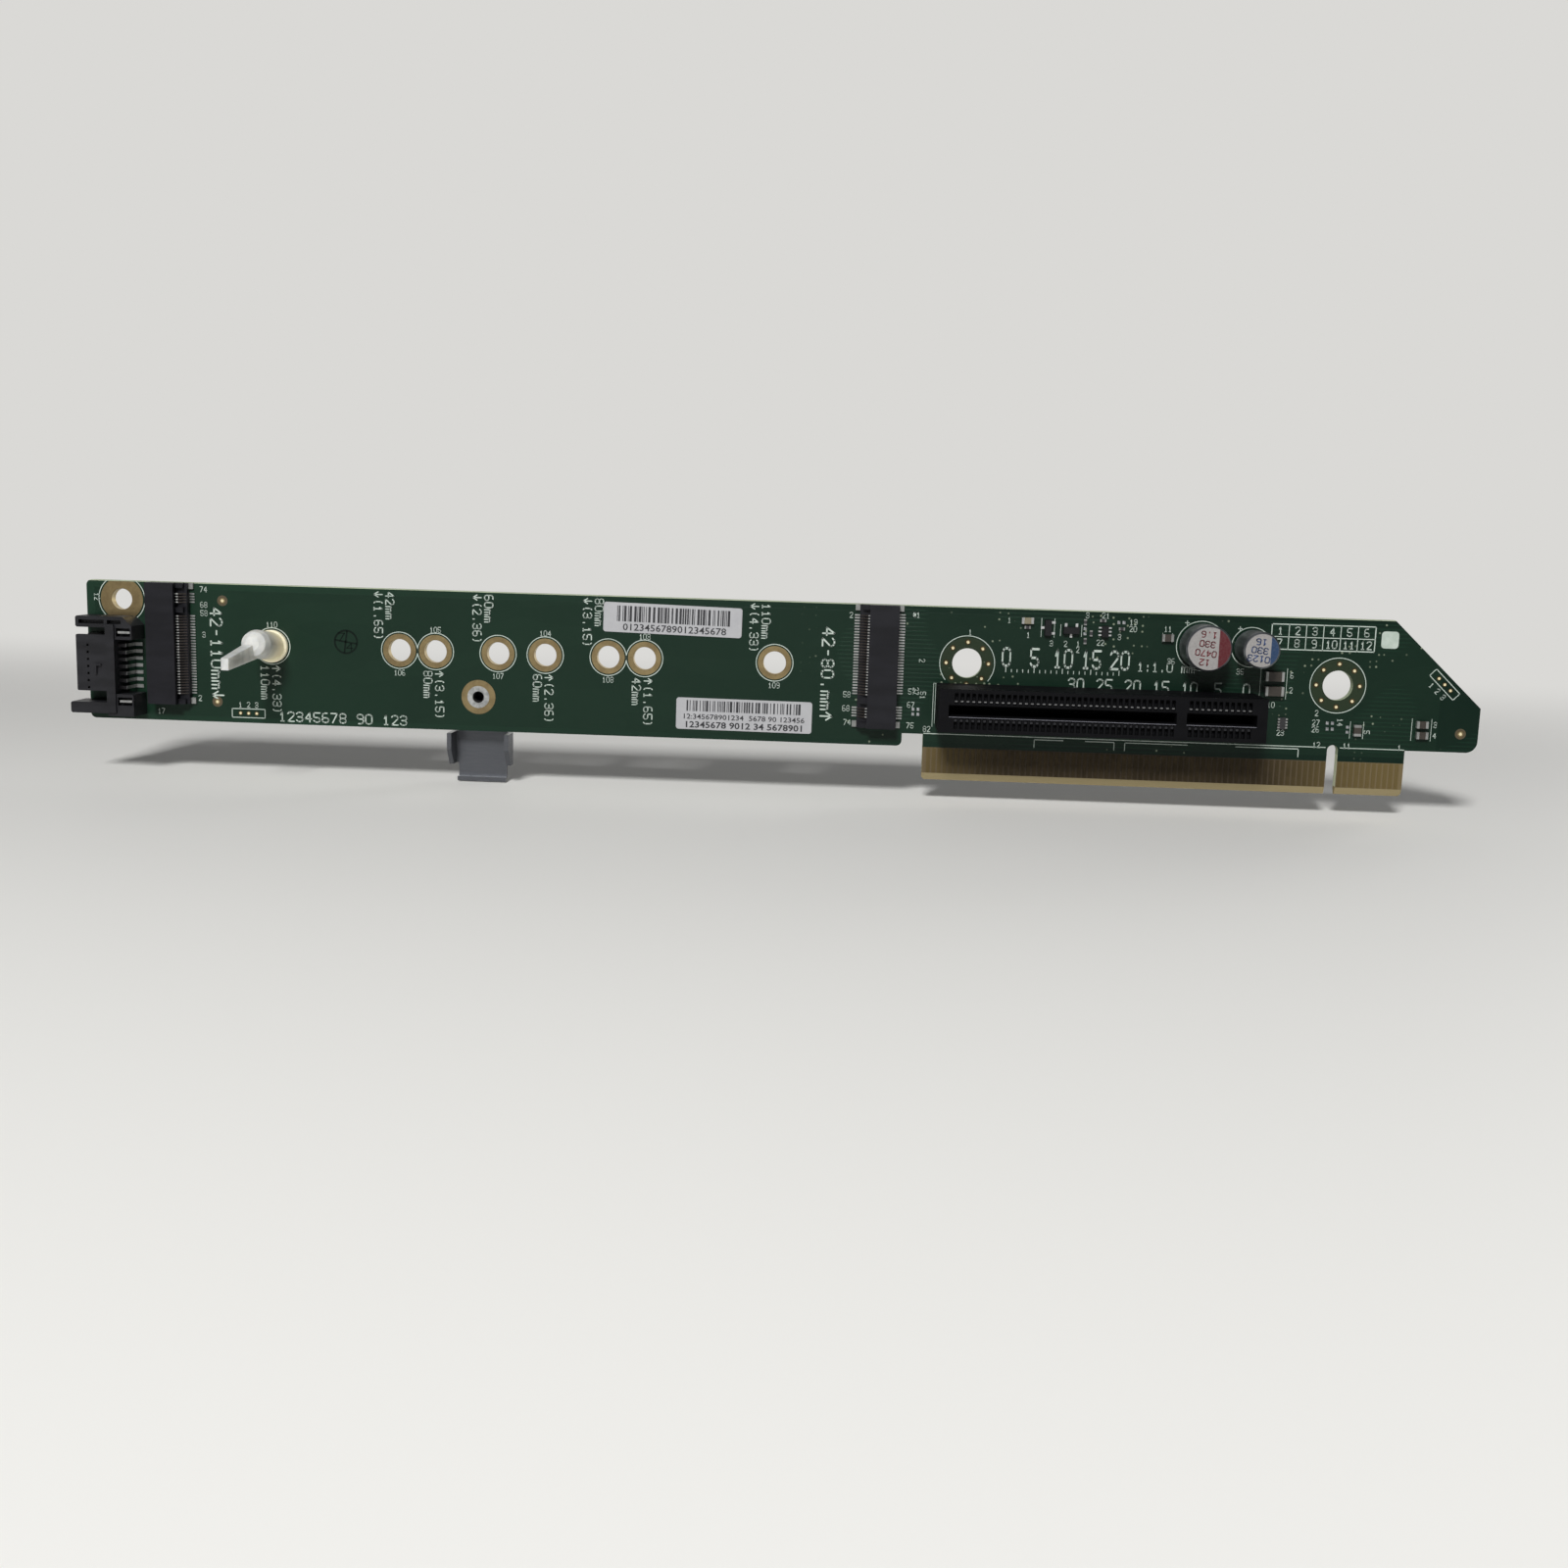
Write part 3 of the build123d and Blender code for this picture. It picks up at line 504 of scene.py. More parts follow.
@dataclass(frozen=True)
class Nylon:
    """Natural nylon: milky, warmer and paler from the foot up the stem's side, partly as painted light, and
    glowing there with painted light.
    """

    milk: str = "#dcdcd8"
    cloudy: str = "#bfc1be"
    warm: str = "#efe3c0"
    foot: tuple[float, float] = (-9.2, -1.8)
    glow: float = 0.17

    def build(self) -> bpy.types.Material:
        """Return the material."""
        g = Graph("natural_nylon")
        place = g.position()
        _, y, _ = g.parts(place)
        cloud = g.noise(place, 0.5, 3.0).beyond(0.3, 0.75)
        colour = g.mix(cloud, paint(self.milk), paint(self.cloudy))
        # From the foot up the stem's side the colour turns warm and pale: the nylon's own warmth with painted
        # light on its shaded side.
        foot = y.beyond(*self.foot)
        colour = g.mix(foot, colour, paint(self.warm))
        return g.surface(
            {
                "Base Color": colour,
                "Roughness": cloud * 0.1 + 0.38,
                "Normal": g.bump(g.noise(place, 1.6, 3.0), 0.3, 0.05),
                # The same region glows: painted light, though the nylon is no lamp.
                "Emission Color": g.mix(foot, (0.0, 0.0, 0.0, 1.0), paint(self.warm)),
                "Emission Strength": self.glow,
                "Subsurface Weight": 0.6,
                "Subsurface Radius": (1.0, 0.9, 0.75),
                "Subsurface Scale": 2.6 * MM,
            }
        )


@dataclass(frozen=True)
class SheetSteel:
    """Rolled sheet with a dark passivated face and bright sheared edges."""

    face: str = "#686a6f"
    streak: str = "#4f5155"
    sheared: str = "#b4b6b8"

    def build(self) -> bpy.types.Material:
        """Return the material."""
        g = Graph("passivated_sheet")
        place = g.position()
        _, y, _ = g.parts(place)
        _, ny, nz = g.facing()
        rolled = g.noise(g.stretched(place, (0.5, 0.5, 6.0)), 1.0, 4.0)
        patch = g.noise(place, 0.12, 2.0)
        colour = g.mix(rolled * 0.5 + patch * 0.5, paint(self.face), paint(self.streak))
        front = (1 - ny).beyond(1.85, 1.95) * (1 - y.beyond(-3.2, -3.1))
        colour = g.mix(abs(nz).beyond(0.85, 0.95) | front, colour, paint(self.sheared))
        return g.surface(
            {
                "Base Color": colour,
                "Metallic": 0.8,
                "Roughness": rolled * 0.2 + 0.3,
                "Normal": g.bump(rolled, 0.2, 0.02),
            }
        )


@dataclass(frozen=True)
class TurnedSteel:
    """Plated steel turned on a lathe."""

    name: str = "turned_steel"
    bright: str = "#c6c7c6"
    dull: str = "#8b8c8b"
    rough: float = 0.28

    def build(self) -> bpy.types.Material:
        """Return the material."""
        g = Graph(self.name)
        place = g.position()
        rings = g.noise(g.stretched(place, (0.8, 14.0, 0.8)), 1.0, 3.0)
        stain = g.noise(place, 1.4, 3.0).beyond(0.3, 0.7)
        colour = g.mix(stain * 0.7 + rings * 0.3, paint(self.bright), paint(self.dull))
        return g.surface(
            {
                "Base Color": colour,
                "Metallic": 0.9,
                "Roughness": stain * 0.15 + self.rough,
                "Normal": g.bump(rings, 0.3, 0.02),
            }
        )


@dataclass(frozen=True)
class CanFinish:
    """Bare aluminium can whose lid carries a coloured segment on its negative side."""

    name: str
    centre: tuple[float, float]
    radius: float
    top: float
    ink: str
    segment: float
    side: tuple[str, str] = ("#85888a", "#606468")
    face: tuple[str, str] = ("#a29f9d", "#8b8886")
    rim: float = 0.4
    groove: float = 0.2
    blend: float = 0.15
    mark_blend: float = 0.06

    def build(self) -> bpy.types.Material:
        """Return the material."""
        g = Graph(self.name)
        place = g.position()
        x, y, z = g.parts(place)
        drawn = g.noise(g.stretched(place, (1.6, 0.1, 1.6)), 1.4, 3.0)
        side = g.mix(drawn, *map(paint, self.side))
        from_left, from_low = x - self.centre[0], z - self.centre[1]
        away = from_left.power(2) + from_low.power(2)
        lip = self.radius - self.rim
        level = 1 - y.beyond(self.top + self.groove, self.top + self.groove + self.blend)
        lid = level * (1 - away.beyond(lip**2, (lip + self.blend) ** 2))
        grain = g.noise(place, 3.0, 4.0)
        face = g.mix(grain, *map(paint, self.face))
        chord = self.segment * self.radius
        mark = from_left.beyond(chord - self.mark_blend, chord + self.mark_blend)
        face = g.mix(mark * (grain * 0.2 + 0.88), face, paint(self.ink))
        colour = g.mix(lid, side, face)
        return g.surface(
            {
                "Base Color": colour,
                "Metallic": 0.85 - lid * 0.65,
                "Roughness": drawn * 0.12 + 0.26 + lid * 0.15,
                "Normal": g.bump(drawn, 0.15, 0.02),
            }
        )


@dataclass(frozen=True)
class Compound:
    """Plain body with a fine mottle, for small components, rubber, paper and inks."""

    name: str
    light: str
    dark: str
    rough: float
    scale: float = 4.0
    depth: float = 0.01
    coat: float = 0.0
    gloss: float = 0.5

    def build(self) -> bpy.types.Material:
        """Return the material."""
        g = Graph(self.name)
        place = g.position()
        mottle = g.noise(place, self.scale, 4.0)
        patch = g.noise(place, self.scale * 0.13, 2.0).beyond(0.35, 0.7)
        colour = g.mix(mottle * 0.6 + patch * 0.4, paint(self.light), paint(self.dark))
        return g.surface(
            {
                "Base Color": colour,
                "Roughness": mottle * 0.15 + self.rough - 0.07,
                "Coat Weight": self.coat,
                "Specular IOR Level": self.gloss,
                "Normal": g.bump(mottle, 0.3, self.depth),
            }
        )


MASK = MaskedBoard().build()
FINGERS = Plating(
    "finger_gold", "#433826", "#31291b", rough=0.5, grain=(3.0, 1.0, 0.4), warm_ends=WARM_ENDS
).build()
LAND = Plating("land_gold", "#96855f", "#7a694a").build()
# Paler gold for the bore walls: the plating's gold with a painted reflection.
BARREL_GOLD_REFLECTION = Plating("barrel_gold", "#d8c79c", "#b59f6c").build()
VIA = Plating("via_gold", "#5f4f31", "#473b26").build()
THREAD = Plating("thread_shadow", "#3a3836", "#242322", metallic=0.5, rough=0.4).build()
TIN = Plating("bright_tin", "#c9cac8", "#8f908f", metallic=0.85).build()
DULL_TIN = Plating("dull_tin", "#a5a6a3", "#7d7e7c", metallic=0.5).build()
LEAD = Plating("lead_tin", "#dadbda", "#a8a9a8", metallic=0.4).build()
DATA_TIN = Plating("data_tin", "#c9cac8", "#8f908f", metallic=0.85, shaded=(-218.0, -216.3)).build()
BRONZE = Plating("spring_bronze", "#4a4440", "#312d2a", metallic=0.8).build()
SOLDER = Plating("reflowed_solder", "#c4c6c8", "#9a9c9e", metallic=0.85, rough=0.3).build()
HOOD = Moulding("hood_moulding", "#0d0d12", "#18181e", gloss=0.25).build()
# The slot's chamfers take a painted highlight only at its mouth, down to just under its rim.
SLOT_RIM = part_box("slot_housing")[0].y / MM + 0.06
HOUSING = Moulding(
    "slot_moulding", "#060608", "#0d0d10", rough=0.6, gloss=0.1, chamfer="#85858d", burnished_to=SLOT_RIM
).build()
CONNECTOR = Moulding("connector_moulding", "#131316", "#232327", gloss=0.3).build()
INK = Compound("board_ink", "#c3ccc4", "#9faea3", 0.55).build()
PAPER = Compound("label_paper", "#adadaf", "#a1a1a4", 0.6, 1.6).build()
BARE = Compound("bare_laminate", "#54482f", "#453b29", 0.6).build()
BLACK_INK = Compound("label_ink", "#1b1b1f", "#2a2a2e", 0.5).build()
VIA_CORE = Compound("via_core", "#e6dab2", "#cfc095", 0.4).build()
RUBBER = Compound("seal_rubber", "#1b1b1d", "#2a2a2c", 0.75).build()
CHIP = Compound("chip_compound", "#0d0d0f", "#19191b", 0.55, gloss=0.25).build()
CERAMIC = Compound("fired_ceramic", "#3a332c", "#2e2924", 0.45).build()
FILM = Compound("resistor_film", "#141416", "#202024", 0.35, coat=0.4).build()
LENS = Compound("lens_resin", "#7d765f", "#6e654c", 0.25, coat=0.6).build()
RED_INK = Compound("red_ink", "#5f111b", "#6f1c26", 0.45).build()
BLUE_INK = Compound("blue_ink", "#1a3361", "#264271", 0.45).build()
STAMP_INK = Compound("stamp_ink", "#0a140f", "#101e17", 0.6, gloss=0.1).build()


# ---------------------------------------------------------------- modelling
Spot = tuple[float, float]
Test = Callable[[Vector, Vector], bool]


class Bench:
    """Modelling steps in millimetres. Pieces lie on the board's face at first: x right, y up, z outwards."""

    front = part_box("circuit_board")[0].y / MM
    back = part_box("circuit_board")[1].y / MM

    @staticmethod
    def clear() -> None:
        """Leave edit mode and deselect everything."""
        if bpy.context.mode != "OBJECT":
            bpy.ops.object.mode_set(mode="OBJECT")
        bpy.ops.object.select_all(action="DESELECT")

    @staticmethod
    def edit(piece: bpy.types.Object) -> None:
        """Enter edit mode with all selected.

        Args:
            piece: the object.
        """
        Bench.clear()
        piece.select_set(True)
        bpy.context.view_layer.objects.active = piece
        bpy.ops.object.mode_set(mode="EDIT")
        bpy.ops.mesh.select_mode(type="VERT")
        bpy.ops.mesh.select_all(action="SELECT")

    @staticmethod
    def pick(piece: bpy.types.Object, kind: str, test: Test) -> None:
        """Select faces or edges in edit mode.

        Args:
            piece: the object.
            kind: "FACE" or "EDGE".
            test: says from the middle and the normal, or an edge's direction, whether one is wanted.
        """
        Bench.edit(piece)
        bpy.ops.mesh.select_mode(type=kind)
        bpy.ops.mesh.select_all(action="DESELECT")
        mesh = bmesh.from_edit_mesh(piece.data)
        if kind == "FACE":
            for face in mesh.faces:
                face.select = test(face.calc_center_median(), face.normal)
        else:
            for edge in mesh.edges:
                first, second = (vertex.co for vertex in edge.verts)
                edge.select = test((first + second) / 2, (second - first).normalized())
        mesh.select_flush_mode()
        bmesh.update_edit_mesh(piece.data)

    @staticmethod
    def block(size: Sequence[float], centre: Sequence[float] = (0, 0, 0)) -> bpy.types.Object:
        """A box as a start.

        Args:
            size: its three lengths.
            centre: its middle.

        Returns:
            The box.
        """
        Bench.clear()
        bpy.ops.mesh.primitive_cube_add(size=1, location=centre, scale=size)
        bpy.ops.object.transform_apply(location=True, rotation=True, scale=True)
        return bpy.context.object

    @staticmethod
    def bevel(piece: bpy.types.Object, test: Test, width: float, segments: int = 2) -> None:
        """Round some edges.

        Args:
            piece: the object.
            test: says from an edge's middle and direction whether it is rounded.
            width: width of the rounding.
            segments: its facets.
        """
        Bench.pick(piece, "EDGE", test)
        bpy.ops.mesh.bevel(offset=width, segments=segments)
        Bench.clear()

    @staticmethod
    def pull(piece: bpy.types.Object, test: Test, moves: Iterable[Sequence[float]]) -> None:
        """Extrude some faces, once for each move.

        Args:
            piece: the object.
            test: says from a face's middle and normal whether it is extruded.
            moves: the moves.
        """
        Bench.pick(piece, "FACE", test)
        for move in moves:
            bpy.ops.mesh.extrude_region_move(TRANSFORM_OT_translate={"value": move})
        Bench.clear()

    @staticmethod
    def turned(profile: Sequence[Spot], steps: int, ring: bool) -> bpy.types.Object:
        """Turn a profile about the z axis.

        Args:
            profile: radius and height of each loop; a ring's last loop joins its first.
            steps: sides of the turned shape.
            ring: whether the middle stays open.

        Returns:
            The turned object.
        """
        Bench.clear()
        fill = "NOTHING" if ring else "NGON"
        radius, height = profile[0]
        bpy.ops.mesh.primitive_circle_add(
            vertices=steps, radius=radius, fill_type=fill, location=(0, 0, height)
        )
        bpy.ops.object.transform_apply(location=True)
        piece = bpy.context.object
        Bench.edit(piece)
        for wider, higher in profile[1:]:
            bpy.ops.mesh.extrude_region_move(TRANSFORM_OT_translate={"value": (0, 0, higher - height)})
            factor = wider / radius
            bpy.ops.transform.resize(value=(factor, factor, 1), center_override=(0, 0, higher))
            radius, height = wider, higher
        if ring:
            bpy.ops.mesh.select_all(action="DESELECT")
            bpy.ops.mesh.select_mode(type="EDGE")
            bpy.ops.mesh.select_non_manifold()
            bpy.ops.mesh.bridge_edge_loops()
        bpy.ops.mesh.select_all(action="SELECT")
        bpy.ops.mesh.normals_make_consistent(inside=False)
        Bench.clear()
        return piece

    @staticmethod
    def seat(side: Side, spot: Spot, turn: float = 0.0, lift: float = 0.0) -> Matrix:
        """Matrix that lays a piece on a face of the board.

        Args:
            side: the board's face.
            spot: card X and Z.
            turn: degrees anticlockwise, seen from outside.
            lift: distance off the board.

        Returns:
            The matrix.
        """
        face = Bench.front if side is Side.FRONT else Bench.back
        outward = side.value
        axes = Matrix(((-outward, 0, 0), (0, 0, outward), (0, 1, 0))).to_4x4()
        place = Matrix.Translation((spot[0], face + outward * lift, spot[1]))
        return place @ axes @ Matrix.Rotation(math.radians(turn), 4, "Z")

    @staticmethod
    def joined(pieces: Sequence[bpy.types.Object]) -> bpy.types.Object:
        """Join pieces.

        Args:
            pieces: the objects; the first takes the others in.

        Returns:
            The first.
        """
        Bench.clear()
        for piece in pieces:
            piece.select_set(True)
        bpy.context.view_layer.objects.active = pieces[0]
        bpy.ops.object.join()
        return pieces[0]

    @staticmethod
    def repeated(master: bpy.types.Object, seats: Iterable[Matrix]) -> bpy.types.Object:
        """Copy a piece, each copy with its own mesh, and join the copies.

        Args:
            master: the piece, which is removed.
            seats: where the copies lie.

        Returns:
            The joined copies.
        """
        copies = []
        for seat in seats:
            copy = master.copy()
            copy.data = master.data.copy()
            copy.data.transform(seat)
            bpy.context.scene.collection.objects.link(copy)
            copies.append(copy)
        bpy.data.objects.remove(master)
        return Bench.joined(copies)

    @staticmethod
    def settle(
        piece: bpy.types.Object,
        name: str,
        slot: Slot,
        material: Optional[bpy.types.Material] = None,
        angle: float = 35.0,
    ) -> None:
        """Finish a piece and give it to its body.

        Args:
            piece: the object, in millimetres.
            name: its name.
            slot: the record's material slot; not used.
            material: its material, if it has none yet.
            angle: degrees between faces below which their edge is smooth.
        """
        Bench.clear()
        piece.select_set(True)
        bpy.context.view_layer.objects.active = piece
        bpy.ops.object.shade_smooth_by_angle(angle=math.radians(angle))
        piece.data.transform(Matrix.Scale(MM, 4))
        piece.name = piece.data.name = name
        if material:
            piece.data.materials.append(material)
        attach(piece, "root")
        log.info("piece %s, %d faces", name, len(piece.data.polygons))

    @staticmethod
    def coat(
        piece: bpy.types.Object,
        materials: Sequence[bpy.types.Material],
        choose: Callable[[bpy.types.MeshPolygon], int],
    ) -> bpy.types.Object:
        """Give a piece its materials before it is copied.

        Args:
            piece: the object.
            materials: its materials.
            choose: says which of them a face takes.

        Returns:
            The same object.
        """
        for material in materials:
            piece.data.materials.append(material)
        for face in piece.data.polygons:
            face.material_index = choose(face)
        return piece

    @staticmethod
    def dress(node: str, material: bpy.types.Material) -> None:
        """Give a CAD node its finish.

        Args:
            node: the node's name.
            material: its material.
        """
        carrier = frame["nodes"][node]
        if not carrier.material_slots:
            carrier.data.materials.append(material)
        for place in carrier.material_slots:
            place.material = material


def near(mount: str, dx: float = 0.0, dz: float = 0.0) -> Spot:
    """Card X and Z of a place, given from a mount of the record."""
    return MOUNTS[mount].x + dx, MOUNTS[mount].z + dz


def middle(node: str) -> Vector:
    """Middle of a CAD node, in millimetres."""
    low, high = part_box(node)
    return (low + high) / 2 / MM


def corners(node: str) -> tuple[Vector, Vector]:
    """Low and high corner of a CAD node's box, in millimetres."""
    low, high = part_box(node)
    return low / MM, high / MM


# ---------------------------------------------------------------- plated copper
# The two rows of header pads: the mount and the distances that place them, and their turn in degrees.
HEADERS = ((("corner_hole", 22.95, -20.1), 0.0), (("mounting_hole_2", 18.5, 0.8), -44.0))
HEADER_PITCH = 1.5
# The two mounting holes, each with the radius on which its vias lie.
VIA_RINGS = {"mounting_hole_1": 3.75, "mounting_hole_2": 3.8}


@dataclass
class PlatedCopper:
    """Lands round the holes, vias, targets, header pads and bare pads."""

    rise: float = 0.05
    plating: float = 0.06
    land_radius: float = 3.0
    corner_land_radius: float = 3.9
    corner_land_margin: float = 0.15
    thread_land_radius: float = 3.1
    via_radius: float = 0.5
    via_drill: float = 0.26
    target_radius: float = 0.52
    target_opening: float = 0.95
    thread_radius: float = 1.05
    thread_pitch: float = 0.5
    thread_turns: int = 8
    thread_depth: float = 4.5
    thread_dark: float = -1.4
    thread_rise: float = 0.13
    thread_crest: float = 0.84
    barrel_radius: float = 2.0
    header_land: float = 0.42
    header_drill: float = 0.24
    pad_size: tuple[float, float] = (0.5, 0.55)
    pad_gap: float = 0.9

    def barrel(self, hole: float, land: float) -> bpy.types.Object:
        """Plated hole with a land on both faces; the board's front face is at z 0.

        Args:
            hole: radius of the drilled hole.
            land: radius of the lands.

        Returns:
            The barrel with its lands.
        """
        back = Bench.front - Bench.back
        bore = hole - self.plating
        lip = bore + self.rise
        upper = [(hole, 0), (land, 0), (land, self.rise), (lip, self.rise), (bore, 0)]
        lower = [(radius, back - height) for radius, height in reversed(upper)]
        piece = Bench.turned(upper + lower, 48, ring=True)
        # The bore's wall takes the paler barrel gold, a painted reflection.
        return Bench.coat(
            piece,
            (LAND, BARREL_GOLD_REFLECTION),
            lambda face: int(face.center.xy.length < lip and back < face.center.z < 0),
        )

    def round_lands(self) -> None:
        """Lands of the module holes, the corner hole and the bracket's standoff."""
        radius = frame_radius("left_module_hole_42")
        seats = [Bench.seat(Side.FRONT, near(name)) for name in MODULE_HOLES]
        lands = Bench.repeated(self.barrel(radius, self.land_radius), seats)
        Bench.settle(lands, "module_hole_lands", Slot.GOLD)
        corner = self.barrel(frame_radius("corner_hole"), self.corner_land_radius)
        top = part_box("circuit_board")[1].z / MM - near("corner_hole")[1] - self.corner_land_margin
        Bench.edit(corner)
        bpy.ops.mesh.bisect(plane_co=(0, top, 0), plane_no=(0, 1, 0), use_fill=True, clear_outer=True)
        Bench.clear()
        corner = Bench.repeated(corner, [Bench.seat(Side.FRONT, near("corner_hole"))])
        Bench.settle(corner, "corner_hole_land", Slot.GOLD)
        inner, outer = self.barrel_radius, self.thread_land_radius
        rim = [(outer, 0), (outer, self.rise), (inner, self.rise), (inner, 0)]
        seats = [Bench.seat(side, near("bracket_thread")) for side in Side]
        Bench.settle(Bench.repeated(Bench.turned(rim, 48, True), seats), "thread_lands", Slot.GOLD, LAND)

    def thread(self) -> None:
        """Dark thread inside the bracket's standoff, one rib for each turn, over a closed bottom; deep in the
        bore it is black, painted shade.
        """
        hole, pitch = self.thread_radius, self.thread_pitch
        profile = [(hole - 0.01, -self.thread_depth), (hole - 0.01, 0)]
        for turn in range(self.thread_turns):
            deep = -pitch * turn
            crest = (hole * self.thread_crest, deep - pitch / 2)
            profile += [(hole - 0.03, deep - 0.05), crest, (hole - 0.03, deep - pitch + 0.05)]
        # Faces deeper in the bore and the closed bottom take black chip compound: painted shade.
        cup = Bench.coat(
            Bench.turned(profile, 24, False),
            (THREAD, CHIP),
            lambda face: int(face.center.z < self.thread_dark and face.center.xy.length < hole * 0.98),
        )
        seat = Bench.seat(Side.FRONT, near("bracket_thread"), 0, self.thread_rise)
        Bench.settle(Bench.repeated(cup, [seat]), "bracket_thread_ribs", Slot.STEEL)

    def dimple(self, land: float, drill: float) -> bpy.types.Object:
        """Flat land with a drilled middle, sunk a little.

        Args:
            land: radius of the land.
            drill: radius of the drilled middle.

        Returns:
            The land.
        """
        profile = [(land, 0), (land - 0.04, self.rise), (drill, self.rise), (drill * 0.8, self.rise * 0.3)]
        piece = Bench.turned(profile, 16, ring=False)
        # The drilled middle takes a pale colour: painted light where the hole would show through.
        return Bench.coat(
            piece,
            (VIA, VIA_CORE),
            lambda face: int(face.center.xy.length < drill and 0 < face.center.z < self.rise * 0.9),
        )

    def vias(self) -> None:
        """Eight vias round each mounting hole, on both faces."""
        seats = []
        for hole, reach in VIA_RINGS.items():
            for side in Side:
                for step in range(8):
                    angle = math.radians(45 * step)
                    place = near(hole, reach * math.cos(angle), reach * math.sin(angle))
                    seats.append(Bench.seat(side, place))
        ring = Bench.repeated(self.dimple(self.via_radius, self.via_drill), seats)
        Bench.settle(ring, "mounting_hole_vias", Slot.GOLD)

    def targets(self) -> None:
        """Round alignment targets in their mask openings."""
        land, outer, crown = self.target_radius, self.target_opening, self.rise + 0.02
        profile = [(outer, 0), (outer, 0.012), (land + 0.02, 0.012), (land, self.rise), (land * 0.55, crown)]

        def finish(face: bpy.types.MeshPolygon) -> int:
            """Bare board round the land, and a dark middle on it."""
            if face.center.xy.length > land * 0.95:
                return 1
            return 2 * int(face.center.z > self.rise + 0.015)

        piece = Bench.coat(Bench.turned(profile, 32, False), (LAND, BARE, VIA_CORE), finish)
        places = [
            ("corner_hole", 18.55, 0.25),
            ("corner_hole", 17.2, -18.15),
            ("mounting_hole_2", 22.0, -7.85),
        ]
        seats = [Bench.seat(Side.FRONT, near(*place)) for place in places]
        Bench.settle(Bench.repeated(piece, seats), "targets", Slot.GOLD)

    def headers(self) -> None:
        """Two rows of three header pads."""
        seats = []
        for place, turn in HEADERS:
            for side in Side:
                base = Bench.seat(side, near(*place), turn * -side.value)
                seats += [base @ Matrix.Translation((step * HEADER_PITCH, 0, 0)) for step in (-1, 0, 1)]
        pads = Bench.repeated(self.dimple(self.header_land, self.header_drill), seats)
        Bench.settle(pads, "header_pads", Slot.GOLD)

    def bare_pads(self) -> None:
        """Tinned pads that carry no part."""
        width, length = self.pad_size
        pad = Bench.block((width, length, 0.06), (0, 0, 0.03))
        Bench.bevel(pad, lambda place, way: place.z > 0.05, 0.05)
        level = [
            ("mounting_hole_1", 26.8, 8.06),
            ("mounting_hole_2", -0.85, -6.7),
            ("mounting_hole_2", -0.8, -7.75),
            ("right_module_socket", 10.55, -7.49),
            ("right_module_socket", 10.55, -8.39),
        ]
        upright = [("mounting_hole_1", 20.5, 6.32), ("mounting_hole_2", 2.3, -7.75)]
        seats = []
        for turn, places in ((0.0, level), (90.0, upright)):
            for place in places:
                base = Bench.seat(Side.FRONT, near(*place), turn)
                seats += [base @ Matrix.Translation((step * self.pad_gap / 2, 0, 0)) for step in (-1, 1)]
        Bench.settle(Bench.repeated(pad, seats), "bare_pads", Slot.TIN, SOLDER)

    def build(self) -> None:
        """Make all of it."""
        self.round_lands()
        self.thread()
        self.vias()
        self.targets()
        self.headers()
        self.bare_pads()


def frame_radius(mount: str) -> float:
    """Radius of a round mount of the record, in millimetres."""
    entries = frame["record"]["mounts"]
    return next(entry["dims"]["r_mm"] for entry in entries if entry["name"] == mount)


# ---------------------------------------------------------------- printing
# Strokes of each sign on a grid of 4 by 6: across and up for each point, a slash between strokes.
SIGN_STROKES = {
    "0": "10 01 05 16 36 45 41 30 10",
    "1": "14 26 20/10 30",
    "2": "05 16 36 45 44 00 40",
    "3": "05 16 36 45 44 33 13/33 42 41 30 10 01",
    "4": "30 36 02 42",
    "5": "46 06 03 33 42 41 30 10 01",
    "6": "36 16 05 01 10 30 41 42 33 03",
    "7": "06 46 10",
    "8": "13 02 01 10 30 41 42 33 13/13 04 05 16 36 45 44 33",
    "9": "10 30 41 45 36 16 05 04 13 43",
    "m": "00 04 14 23 20/23 34 43 40",
    "(": "36 25 21 30",
    ")": "16 25 21 10",
    ".": "20 21",
    ":": "20 21/23 24",
    "-": "13 33",
    "v": "26 20/03 20 43",
    "^": "26 20/03 26 43",
}


